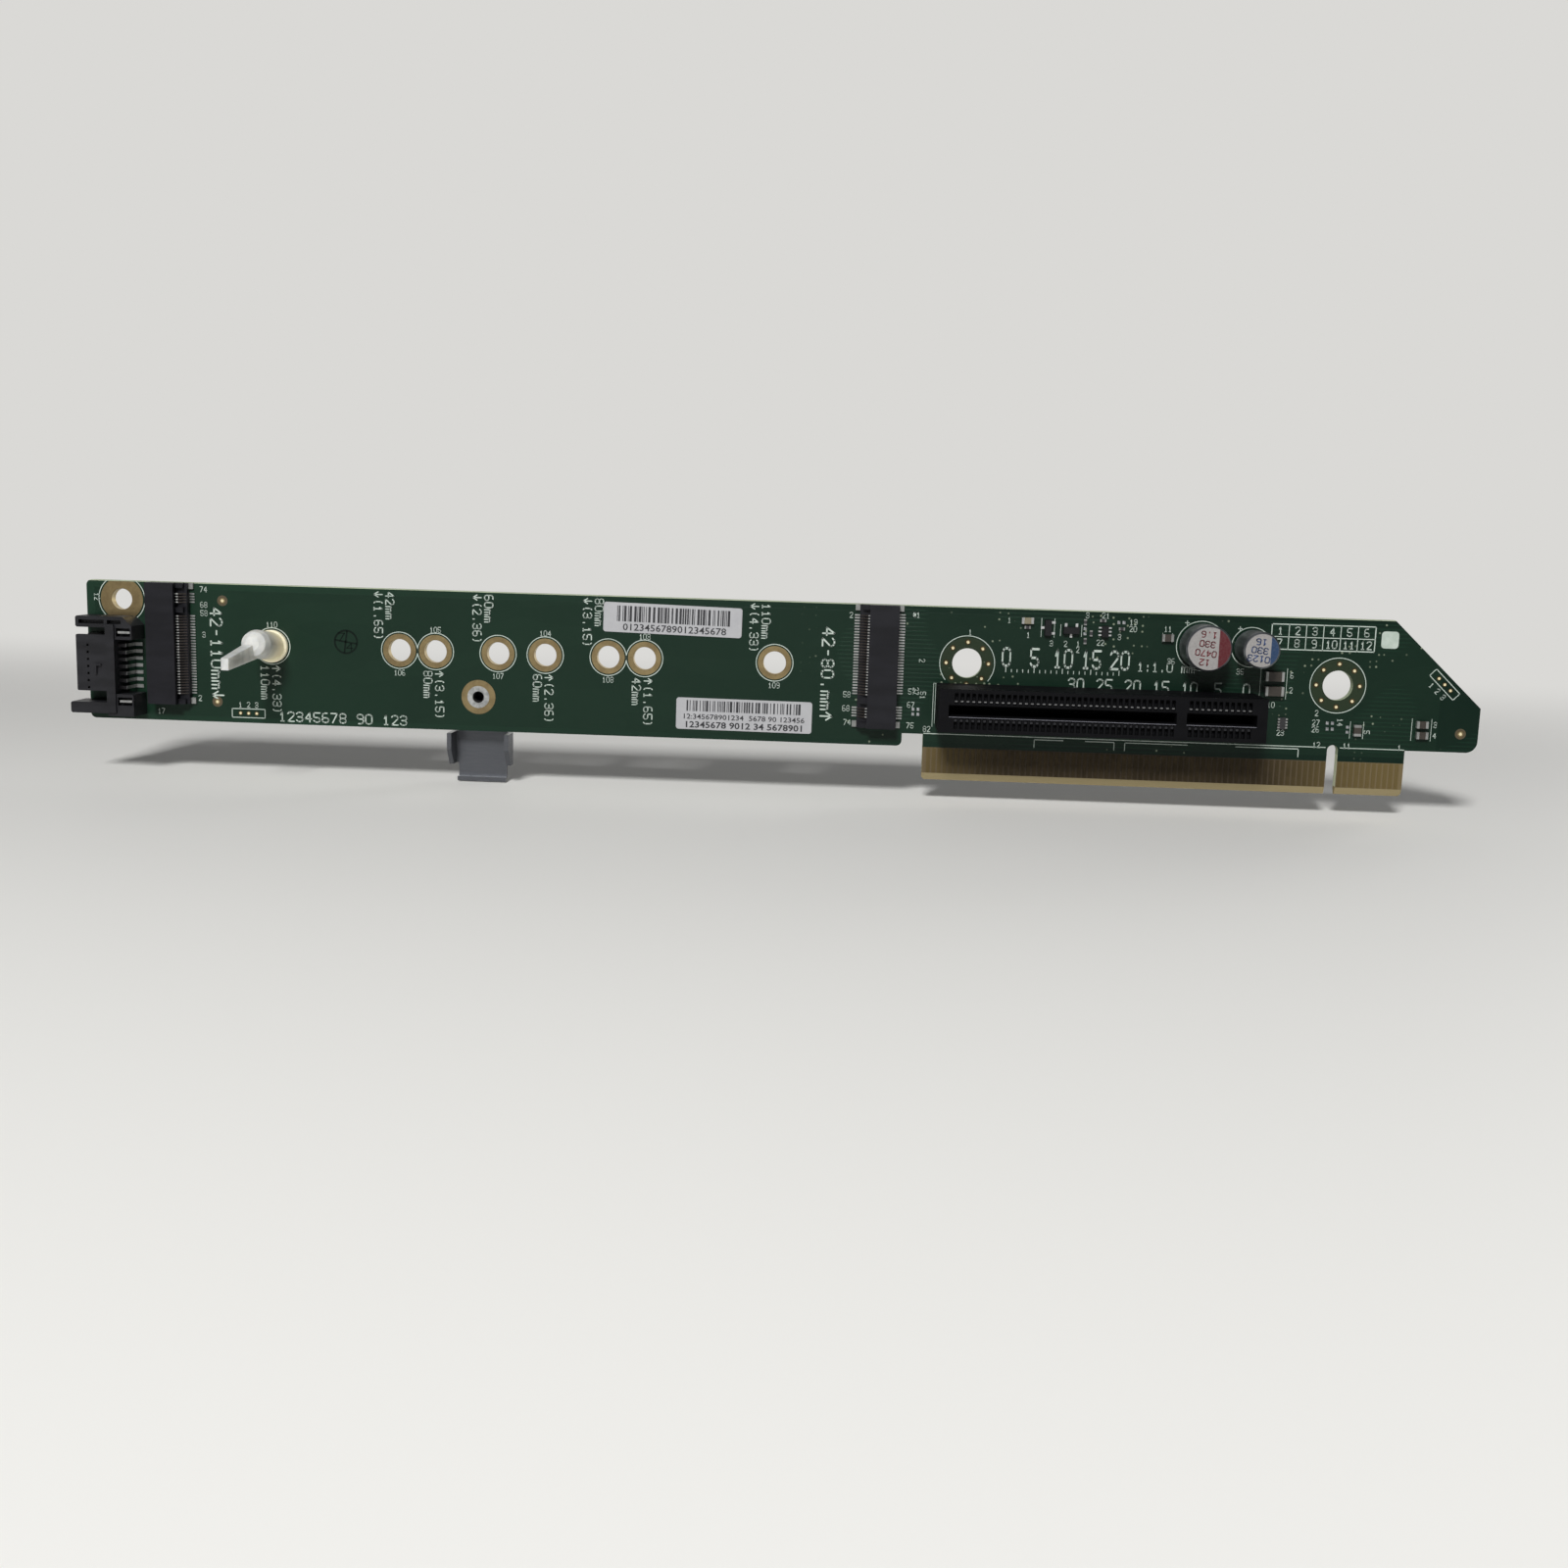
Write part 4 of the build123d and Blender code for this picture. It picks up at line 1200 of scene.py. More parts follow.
@dataclass
class Printer:
    """Raised ink: strokes, rings and figures, collected and joined into one piece for each ink."""

    thickness: float = 0.03
    advance: float = 5.6
    bold: float = 0.8
    signs: ClassVar[dict[str, bpy.types.Mesh]] = {}

    def __post_init__(self) -> None:
        """Start with nothing printed."""
        self.made: list[bpy.types.Object] = []

    def stroke(self, first: Spot, second: Spot, width: float, seat: Matrix) -> None:
        """One straight line with rounded ends.

        Args:
            first: where it starts.
            second: where it ends.
            width: its width.
            seat: where its grid lies.
        """
        run = Vector(second) - Vector(first)
        line = Bench.block((run.length + width, width, self.thickness), (0, 0, self.thickness / 2))
        Bench.bevel(line, lambda middle, way: abs(way.z) > 0.9, width * 0.35, 1)
        middle_point = (Vector(first) + Vector(second)) / 2
        place = Matrix.Translation((*middle_point, 0)) @ Matrix.Rotation(math.atan2(run.y, run.x), 4, "Z")
        line.data.transform(seat @ place)
        self.made.append(line)

    def path(self, points: Sequence[Spot], width: float, seat: Matrix) -> None:
        """Joined straight lines."""
        for first, second in zip(points, points[1:]):
            self.stroke(first, second, width, seat)

    def arc(
        self, radius: float, width: float, seat: Matrix, start: float = 0.0, sweep: float = 360.0
    ) -> None:
        """A ring, or part of one, from a turned strip.

        Args:
            radius: radius of its middle line.
            width: its width.
            seat: where its centre lies.
            start: degrees at which it starts.
            sweep: degrees that it runs.
        """
        inner, outer = radius - width / 2, radius + width / 2
        profile = [(outer, 0), (outer, self.thickness), (inner, self.thickness), (inner, 0)]
        ring = Bench.turned(profile, 64, True)
        if sweep < 360:
            half = math.radians(sweep / 2)
            centre = math.radians(start + sweep / 2)

            def outside(place: Vector, normal: Vector) -> bool:
                """Whether a face lies outside the sweep."""
                away = math.atan2(place.y, place.x) - centre
                return abs(math.atan2(math.sin(away), math.cos(away))) > half

            Bench.pick(ring, "FACE", outside)
            bpy.ops.mesh.delete(type="FACE")
            bpy.ops.mesh.select_all(action="SELECT")
            bpy.ops.mesh.fill_holes(sides=4)
            Bench.clear()
        ring.data.transform(seat)
        self.made.append(ring)

    def sign(self, character: str) -> bpy.types.Mesh:
        """A sign on its grid of 4 by 6, modelled once from strokes.

        Args:
            character: the sign.

        Returns:
            Its mesh, which is shared and has to be copied.
        """
        key = f"{character}{self.bold}"
        if key not in self.signs:
            pen = Printer(self.thickness, bold=self.bold)
            for line in SIGN_STROKES[character].split("/"):
                pen.path([(int(point[0]), int(point[1])) for point in line.split()], self.bold, Matrix())
            master = Bench.joined(pen.made)
            self.signs[key] = master.data
            bpy.data.objects.remove(master)
        return self.signs[key]

    def figures(self, text: str, height: float, pitch: float, seat: Matrix) -> None:
        """Numbers and arrows drawn with one stroke, centred on the seat.

        Args:
            text: what is printed; v and ^ stand for arrows down and up.
            height: height of the figures.
            pitch: distance from one figure to the next.
            seat: where they lie.
        """
        sizes = Matrix.Diagonal((pitch / self.advance, height / 6, 1, 1))
        start = -(self.advance * (len(text) - 1) + 4) / 2
        for index, character in enumerate(text):
            if character == " ":
                continue
            mesh = self.sign(character).copy()
            mesh.transform(seat @ sizes @ Matrix.Translation((start + self.advance * index, -3, 0)))
            piece = bpy.data.objects.new("sign", mesh)
            bpy.context.scene.collection.objects.link(piece)
            self.made.append(piece)

    def typeset(self, text: str, height: float, length: float, weight: float, seat: Matrix) -> None:
        """Typeset numbers, centred on the seat.

        Args:
            text: what is printed.
            height: height of the figures.
            length: their whole length.
            weight: how far their outline grows.
            seat: where they lie.
        """
        Bench.clear()
        bpy.ops.object.text_add()
        piece = bpy.context.object
        piece.data.body = text
        piece.data.extrude = self.thickness
        piece.data.resolution_u = 2
        piece.data.offset = weight
        bpy.ops.object.convert(target="MESH")
        Bench.edit(piece)
        bpy.ops.mesh.remove_doubles(threshold=0.0002)
        Bench.clear()
        spots = [vertex.co for vertex in piece.data.vertices]
        low = Vector([min(spot[axis] for spot in spots) for axis in range(3)])
        high = Vector([max(spot[axis] for spot in spots) for axis in range(3)])
        tall = height / 0.73
        wide = length / (high.x - low.x)
        centre = Matrix.Translation((-(low.x + high.x) / 2, -0.35, -low.z))
        sizes = Matrix.Diagonal((wide, tall, 0.5, 1))
        piece.data.transform(seat @ sizes @ centre)
        self.made.append(piece)

    def finish(self, name: str, ink: bpy.types.Material, slot: Slot) -> None:
        """Join what was printed."""
        Bench.settle(Bench.joined(self.made), name, slot, ink)
        self.made = []


@dataclass
class BoardPrint:
    """White printing on the component side: plain figures, scales, arrows, rings and outlines."""

    fine: float = 0.14
    small: tuple[float, float] = (0.95, 0.72)
    lettering: tuple[float, float] = (1.5, 1.29)
    down: float = -90.0
    module_ring: float = 3.3
    corner_ring: float = 4.25
    mounting_ring: float = 4.87
    contact_line: float = 8.35
    header_box: tuple[float, float] = (3.05, 0.8)

    def __post_init__(self) -> None:
        """Start a printer."""
        self.pen = Printer()

    def at(self, mount: str, dx: float, dz: float, turn: float = 0.0) -> Matrix:
        """Seat on the component side, given from a mount."""
        return Bench.seat(Side.FRONT, near(mount, dx, dz), turn)

    def rings(self) -> None:
        """Rings round the holes."""
        for name in MODULE_HOLES:
            self.pen.arc(self.module_ring, self.fine, self.at(name, 0, 0))
        self.pen.arc(self.corner_ring, self.fine, self.at("corner_hole", 0, 0), -231.0, 282.0)
        self.pen.arc(self.mounting_ring, self.fine, self.at("mounting_hole_1", 0, 0), -42.0, 264.0)
        self.pen.arc(self.mounting_ring, self.fine, self.at("mounting_hole_2", 0, 0))
        for can, radius in (("large_capacitor_can", 4.35), ("small_capacitor_can", 3.5)):
            place = middle(can)
            seat = Bench.seat(Side.FRONT, (place.x, place.z))
            self.pen.arc(radius, self.fine, seat)
            plus = seat @ Matrix.Translation((-radius * 0.62, radius * 0.92, 0))
            self.pen.path([(-0.35, 0), (0.35, 0)], self.fine, plus)
            self.pen.path([(0, -0.35), (0, 0.35)], self.fine, plus)

    def callout(self, anchor: str, shift: float, length: int, number: int) -> None:
        """A module length beside its hole: millimetres, and inches with an arrow to the socket.

        Args:
            anchor: mount that the hole's place is given from.
            shift: distance from that mount to the hole along the card.
            length: module length in millimetres.
            number: the hole's number.
        """
        left = anchor.startswith("left")
        height, pitch = self.lettering
        lines = (f"{length}mm", f"{'v' if left else '^'}({length / 25.4:.2f})")
        places = ((-1.7, 10.4), (-3.83, 10.4)) if left else ((-1.39, -3.6), (0.73, -3.6))
        for text, (across, top) in zip(lines, places):
            drop = top - (pitch * len(text) - 0.37) / 2
            self.pen.figures(text, height, pitch, self.at(anchor, across + shift, drop, self.down))
        self.pen.figures(str(number), *self.small, self.at(anchor, shift, -4.05 if left else 3.9))

    def module_callouts(self) -> None:
        """Callouts of the module holes, and of the nylon standoff, which stands in the last of them."""
        for number, name in enumerate(MODULE_HOLES, 103):
            self.callout(name, 0.0, int(name.rsplit("_", 1)[1]), number)
        self.callout("right_module_hole_80", -30.0, 110, 110)
        self.pen.arc(self.module_ring, self.fine, self.at("right_module_hole_80", -30.0, 0))

    def socket_marks(self) -> None:
        """Module lengths along each socket, contact numbers and outline corners."""
        lengths = [("right_module_socket", -5.45, "42-80.mm^"), ("left_module_socket", 4.75, "42-110mmv")]
        for mount, offset, text in lengths:
            self.pen.figures(text, 2.1, 1.9, self.at(mount, offset, -1.7, self.down))
        rows = [
            ("2", "right_module_socket", -1.55, 8.96), ("58", "right_module_socket", -1.85, -5.24),
            ("68", "right_module_socket", -1.95, -7.74), ("74", "right_module_socket", -1.65, -10.24),
            ("1", "right_module_socket", 10.35, 9.36), ("57", "right_module_socket", 9.75, -4.34),
            ("67", "right_module_socket", 9.65, -6.74), ("75", "right_module_socket", 9.65, -10.44),
            ("74", "left_module_socket", 2.53, 9.86), ("68", "left_module_socket", 2.53, 7.06),
            ("58", "left_module_socket", 2.53, 5.56), ("3", "left_module_socket", 2.43, 1.66),
            ("2", "left_module_socket", 1.43, -9.94), ("17", "left_module_socket", -5.87, -12.54),
        ]
        for text, *place in rows:
            self.pen.figures(text, *self.small, self.at(*place))
        arrow = [(0.4, 0.4), (0, 0), (0.4, -0.4), (0.4, 0.4)]
        self.pen.path(arrow, 0.25, self.at("right_module_socket", 9.4, 9.35))
        for mount, way in (("right_module_socket", 1), ("left_module_socket", -1)):
            for top in (1, -1):
                corner = [(way * 1.2, top * 10.75), (way * -0.2, top * 10.75), (way * -0.2, top * 9.9)]
                self.pen.path(corner, self.fine, self.at(mount, 0, 0))

    def designators(self) -> None:
        """Plain numbers beside the small parts."""
        level = [
            ("1", "mounting_hole_1", 7.1, 7.9), ("1", "mounting_hole_1", 10.55, 5.4),
            ("3", "mounting_hole_1", 14.7, 4), ("2", "mounting_hole_1", 17.2, 4),
            ("1", "mounting_hole_1", 19.4, 4.1), ("2", "mounting_hole_1", 19.4, 3),
            ("3", "mounting_hole_1", 20.8, 9.15), ("21", "mounting_hole_1", 24, 9.2),
            ("19", "mounting_hole_1", 28.9, 8.2), ("20", "mounting_hole_1", 28.9, 7),
            ("22", "mounting_hole_1", 23.3, 4.4), ("3", "mounting_hole_1", 26.6, 5.5),
            ("11", "mounting_hole_1", 35, 7.2), ("36", "mounting_hole_1", 35.9, 1.5),
            ("35", "mounting_hole_2", -17.2, 1.9), ("6", "mounting_hole_2", -8.1, 1.5),
            ("2", "mounting_hole_2", -8.1, -1.1), ("10", "mounting_hole_2", -11.4, -3.8),
            ("23", "mounting_hole_2", -9.4, -8.7), ("27", "mounting_hole_2", -3.3, -6.7),
            ("26", "mounting_hole_2", -3.3, -7.9), ("3", "mounting_hole_2", 17.5, -6.4),
            ("4", "mounting_hole_2", 17.5, -8.3), ("2", "mounting_hole_2", -3.3, -5),
            ("1", "mounting_hole_1", 0.3, 5.55), ("82", "mounting_hole_1", -6.7, -12.05),
            ("12", "mounting_hole_2", -2.9, -10.65), ("11", "mounting_hole_2", 2.4, -10.65),
            ("1", "mounting_hole_2", 11.6, -10.65),
        ]
        for text, *place in level:
            self.pen.figures(text, *self.small, self.at(*place))
        upright = [
            ("12", "corner_hole", -4.6, 0.3), ("14", "mounting_hole_2", 0.9, -6.5),
            ("5", "mounting_hole_2", 5.7, -8.1), ("51", "right_module_socket", 11.75, -4.94),
            ("27", "right_module_socket", 10.45, -4.24), ("2", "right_module_socket", 11.35, 1.26),
        ]
        for text, *place in upright:
            self.pen.figures(text, *self.small, self.at(*place, self.down))

    def scale(self, mount: str, dx: float, dz: float) -> None:
        """A scale of 20 mm with large figures over it.

        Args:
            mount: mount that its place is given from.
            dx: distance from the mount along the card.
            dz: distance from the mount upwards.
        """
        height, pitch = 3.1, 1.9
        for step in range(21):
            tick = 0.8 if step % 5 == 0 else 0.45
            self.pen.path([(step, 0), (step, tick)], self.fine, self.at(mount, dx, dz))
        for step in range(0, 21, 5):
            self.pen.figures(str(step), height, pitch, self.at(mount, dx + step, dz + height / 2 + 1.1))

    def scales(self) -> None:
        """The two scales, the slot's position numbers and the date grid."""
        self.scale("mounting_hole_1", 6.9, -1.3)
        self.pen.figures("1:1.0 mm", 1.6, 1.29, self.at("mounting_hole_1", 35.1, 0.4))
        self.pen.figures("12345678 90 123", 1.7, 1.6, self.at("left_module_hole_42", -10.57, -12.79))
        slot_low, slot_high = corners("slot_housing")
        for number in range(0, 35, 5):
            place = (slot_high.x - number - 1.3, slot_high.z + 0.55)
            self.pen.figures(str(number), 2.0, 1.55, Bench.seat(Side.FRONT, place))
        outline = Bench.seat(Side.FRONT, (slot_low.x, slot_low.z))
        tall = slot_high.z - slot_low.z
        self.pen.path([(-0.12, 0.2), (-0.12, tall - 0.2)], self.fine * 0.5, outline)
        self.pen.path([(-0.5, -0.4), (-0.5, tall - 0.1), (-0.05, tall - 0.1)], self.fine * 0.6, outline)

    def date_grid(self) -> None:
        """Twelve month numbers in two rows with a blank patch for a mark."""
        width, height, cell = 18.0, 4.4, 3.0
        seat = self.at("mounting_hole_2", -12.2, 6.1)
        frame_points = [(0, 0), (width, 0), (width, height), (0, height), (0, 0)]
        self.pen.path(frame_points, self.fine * 1.3, seat)
        self.pen.path([(0, height / 2), (width, height / 2)], self.fine, seat)
        for column in range(6):
            if column:
                self.pen.path([(column * cell, 0), (column * cell, height)], self.fine, seat)
            for row in range(2):
                number = str(column + 1 + 6 * (1 - row))
                place = seat @ Matrix.Translation(((column + 0.5) * cell, (row + 0.5) * height / 2, 0))
                self.pen.figures(number, 1.35, 1.1, place)
        patch = Bench.block((3.0, 3.0, self.pen.thickness), (20.6, height / 2, self.pen.thickness / 2))
        Bench.bevel(patch, lambda middle_point, way: abs(way.z) > 0.9, 0.6, 3)
        patch.data.transform(seat)
        self.pen.made.append(patch)

    def edge_lines(self) -> None:
        """Line above the edge contacts with the brackets of its contact groups, and the header boxes."""
        low, high = corners("edge_contacts_front")
        base = Bench.seat(Side.FRONT, (0, 0))
        line = self.contact_line
        self.pen.path([(low.x - 0.6, line), (-1.3, line)], self.fine, base)
        self.pen.path([(1.3, line), (high.x + 0.6, line)], self.fine, base)
        for left, right in ((-52.7, -38.5), (-36.6, -6.0)):
            third = (right - left) * 0.36
            self.pen.path([(left, 6.5), (left, 7.9), (left + third, 7.9)], self.fine, base)
            self.pen.path([(right - third, 7.9), (right, 7.9), (right, 6.5)], self.fine, base)
        wide, tall = self.header_box
        box = [(-wide, -tall), (wide, -tall), (wide, tall), (-wide, tall), (-wide, -tall)]
        for place, turn in HEADERS:
            seat = self.at(*place, turn)
            self.pen.path(box, self.fine, seat)
            beside = 1.55 if turn == 0 else -1.7
            for step, number in zip((-HEADER_PITCH, 0.0, HEADER_PITCH), "123"):
                self.pen.figures(number, *self.small, seat @ Matrix.Translation((step, beside, 0)))

    def part_outlines(self) -> None:
        """Corner marks round the transistors and the small ceramics."""
        for mount, dx, dz, width, height in (
            ("mounting_hole_1", 13.95, 6.75, 1.9, 3.3), ("mounting_hole_1", 18.05, 6.4, 3.3, 2.0),
            ("mounting_hole_1", 35, 5.65, 1.3, 1.6), ("mounting_hole_2", -11.25, -0, 4.2, 5.4),
            ("mounting_hole_2", 15.15, -7.35, 3.0, 3.9), ("mounting_hole_2", 3.9, -7.8, 1.9, 3.0),
        ):
            seat = self.at(mount, dx, dz)
            w, h = width / 2 + 0.2, height / 2
            for way in (-1, 1):
                self.pen.path([(way * w, -h), (way * w, h)], self.fine * 0.6, seat)

    def build(self) -> None:
        """Print everything."""
        self.rings()
        self.module_callouts()
        self.socket_marks()
        self.designators()
        self.scales()
        self.date_grid()
        self.edge_lines()
        self.part_outlines()
        self.pen.finish("board_print", INK, Slot.BOARD)
        stamp = self.at("right_module_hole_80", -16.4, 1.2)
        self.pen.arc(2.05, 0.34, stamp)
        self.pen.path([(-1.9, 0.3), (1.9, -0.3)], 0.3, stamp)
        self.pen.path([(0.2, 1.9), (-0.3, -1.9)], 0.3, stamp)
        self.pen.figures("7", 1.3, 1.5, stamp @ Matrix.Translation((-0.8, 0.9, 0)))
        self.pen.figures("4", 1.3, 1.5, stamp @ Matrix.Translation((0.7, -0.9, 0)))
        self.pen.finish("inspection_stamp", STAMP_INK, Slot.BOARD)


# ---------------------------------------------------------------- connectors
class Mouth(Enum):
    """Which way a module socket opens; the value is the turn of its seat."""

    LEFT = 0.0
    RIGHT = 180.0


@dataclass
class ModuleSocket:
    """Spring contacts that show in a module socket's mouth."""

    name: str
    mouth: Mouth
    pitch: float = 0.5
    long_bank: int = 29
    key: int = 4
    short_bank: int = 4
    first: float = 9.0
    lip_height: float = 1.2

    def spring(self) -> bpy.types.Object:
        """One bent strip, from the front of the lip back into the hood."""
        strip = Bench.block((0.25, 0.2, 0.1), (0.25, 0, self.lip_height + 0.06))
        moves = [
            (0.35, 0, 0.12),
            (0.45, 0, 0.3),
            (0.3, 0, 0.02),
            (0.25, 0, 0.12),
            (0.5, 0, 0.02),
            (0.6, 0, -0.4),
        ]
        Bench.pull(strip, lambda place, normal: normal.x > 0.9, moves)
        # A band of each spring takes bright tin: a painted highlight.
        return Bench.coat(strip, (BRONZE, TIN), lambda face: int(1.4 < face.center.x < 2.3))

    def build(self) -> None:
        """Fill the mouth with springs and dress the housing."""
        ways = [self.first - self.pitch * index for index in range(self.long_bank)]
        after = self.first - self.pitch * (self.long_bank + self.key)
        ways += [after - self.pitch * index for index in range(self.short_bank)]
        base = Bench.seat(Side.FRONT, near(f"{self.name}_module_socket"), self.mouth.value)
        springs = Bench.repeated(self.spring(), [base @ Matrix.Translation((0, way, 0)) for way in ways])
        Bench.settle(springs, f"{self.name}_socket_springs", Slot.TIN)
        Bench.dress(f"{self.name}_socket_housing", HOOD)
        Bench.dress(f"{self.name}_socket_contacts", TIN)
        Bench.dress(f"{self.name}_socket_anchors", DULL_TIN)


@dataclass
class SolderSide:
    """Solder joints of the card slot and the can capacitors on the back of the board."""

    pin_rise: float = 1.1
    pin_radius: float = 0.24
    cone: float = 0.72
    inner_row: float = 1.15
    outer_row: float = 3.1
    can_pitch: float = 3.5
    can_cone: float = 1.1

    def joint(self, cone: float) -> bpy.types.Object:
        """A fillet of solder round a pin's end.

        Args:
            cone: radius of its foot.

        Returns:
            The joint.
        """
        profile = [
            (cone, 0),
            (cone * 0.6, 0.22),
            (self.pin_radius + 0.06, 0.62),
            (self.pin_radius, self.pin_rise - 0.1),
            (self.pin_radius * 0.6, self.pin_rise),
        ]
        return Bench.turned(profile, 10, False)

    def build(self) -> None:
        """Place the joints."""
        low, high = corners("slot_contacts")
        line = (low.z + high.z) / 2
        count = round(high.x - low.x) + 1
        key = self.key_columns(low.x, count)
        seats = []
        for index in range(count):
            if index in key:
                continue
            x = high.x - 0.22 - index
            for way in (-1, 1):
                row = self.outer_row if (index % 2 == 0) == (way > 0) else self.inner_row
                seats.append(Bench.seat(Side.BACK, (x, line + way * row)))
        joints = Bench.repeated(self.joint(self.cone), seats)
        Bench.settle(joints, "slot_solder_joints", Slot.TIN, SOLDER, 50)
        seats = []
        for can in ("large_capacitor_can", "small_capacitor_can"):
            place = middle(can)
            for way in (-1, 1):
                seats.append(Bench.seat(Side.BACK, (place.x + way * self.can_pitch / 2, place.z)))
        joints = Bench.repeated(self.joint(self.can_cone), seats)
        Bench.settle(joints, "can_solder_joints", Slot.TIN, SOLDER, 50)

    def key_columns(self, left: float, count: int) -> set[int]:
        """Columns of the slot that its key takes.

        Args:
            left: card X of the last column's left side.
            count: columns in the slot, with those of the key.

        Returns:
            Their indices, counted from the right.
        """
        vertices = frame["nodes"]["slot_contacts"].data.vertices
        halves = {round((vertex.co.x / MM - left) * 2) for vertex in vertices}
        places = {index: round((count - 1 - index) * 2) for index in range(count)}
        return {index for index, half in places.items() if half not in halves and half + 1 not in halves}


@dataclass
class DataSocketMark:
    """Raised key mark on the data socket's hood."""

    arm: float = 1.5
    width: float = 0.35
    rise: float = 0.15

    def build(self) -> None:
        """Model the bent mark and dress the socket."""
        mark = Bench.block((self.width, self.arm, self.rise * 2), (0, 0, 0))
        Bench.pull(mark, lambda place, normal: normal.y > 0.9, [(0, self.width, 0)])
        Bench.pull(mark, lambda place, normal: normal.x > 0.9 and place.y > self.arm / 2, [(0.8, 0, 0)])
        seat = Bench.seat(Side.FRONT, near("data_socket", 3.6, -0.6), 0, 5.7)
        Bench.settle(Bench.repeated(mark, [seat]), "data_socket_mark", Slot.MOULDING, CONNECTOR)
        Bench.dress("data_socket_housing", CONNECTOR)
        Bench.dress("data_socket_contacts", DATA_TIN)
        Bench.dress("data_socket_anchors", TIN)


# ---------------------------------------------------------------- capacitors and labels
@dataclass
class Can:
    """A can capacitor: its finish and the figures on its lid."""

    size: str
    ink: bpy.types.Material
    colour: str
    segment: float
    lines: Sequence[str]
    figure: tuple[float, float]
    line_pitch: float

    def build(self) -> None:
        """Dress the can and print its lid."""
        low, high = corners(f"{self.size}_capacitor_can")
        centre = ((low.x + high.x) / 2, (low.z + high.z) / 2)
        radius = (high.x - low.x) / 2
        finish = CanFinish(f"{self.size}_can", centre, radius, low.y, self.colour, self.segment)
        Bench.dress(f"{self.size}_capacitor_can", finish.build())
        Bench.dress(f"{self.size}_capacitor_seal", RUBBER)
        pen = Printer(bold=1.05)
        lid = Bench.seat(Side.FRONT, (centre[0] - radius * 0.12, centre[1]), 174.0, Bench.front - low.y)
        for index, text in enumerate(self.lines):
            drop = ((len(self.lines) - 1) / 2 - index) * self.line_pitch
            pen.figures(text, *self.figure, lid @ Matrix.Translation((0, drop, 0)))
        pen.finish(f"{self.size}_can_print", self.ink, Slot.CAN)


@dataclass
class Label:
    """A paper label with bars and plain figures."""

    node: str
    turn: float
    bars: tuple[float, float, float, float]
    lines: Sequence[tuple[str, float, float, float, float]]
    seed: int
    widths: tuple[float, ...] = (0.14, 0.14, 0.28, 0.42)

    def build(self) -> None:
        """Dress the label and print it."""
        Bench.dress(self.node, PAPER)
        low, high = corners(self.node)
        centre = ((low.x + high.x) / 2, (low.z + high.z) / 2)
        seat = Bench.seat(Side.FRONT, centre, self.turn, Bench.front - low.y)
        pen = Printer(0.02)
        draw = random.Random(self.seed)
        left, right, bottom, top = self.bars
        x = left
        while x < right - 0.5:
            width = draw.choice(self.widths)
            size = (width, top - bottom, pen.thickness)
            bar = Bench.block(size, (x + width / 2, (top + bottom) / 2, pen.thickness / 2))
            Bench.bevel(bar, lambda place, way: place.z > 0.01 and abs(way.y) > 0.9, 0.015, 1)
            bar.data.transform(seat)
            pen.made.append(bar)
            x += width + draw.choice(self.widths)
        for text, height, length, weight, drop in self.lines:
            line = seat @ Matrix.Translation(((left + right) / 2, drop, 0))
            pen.typeset(text, height, length, weight, line)
        pen.finish(f"{self.node}_print", BLACK_INK, Slot.PAPER)


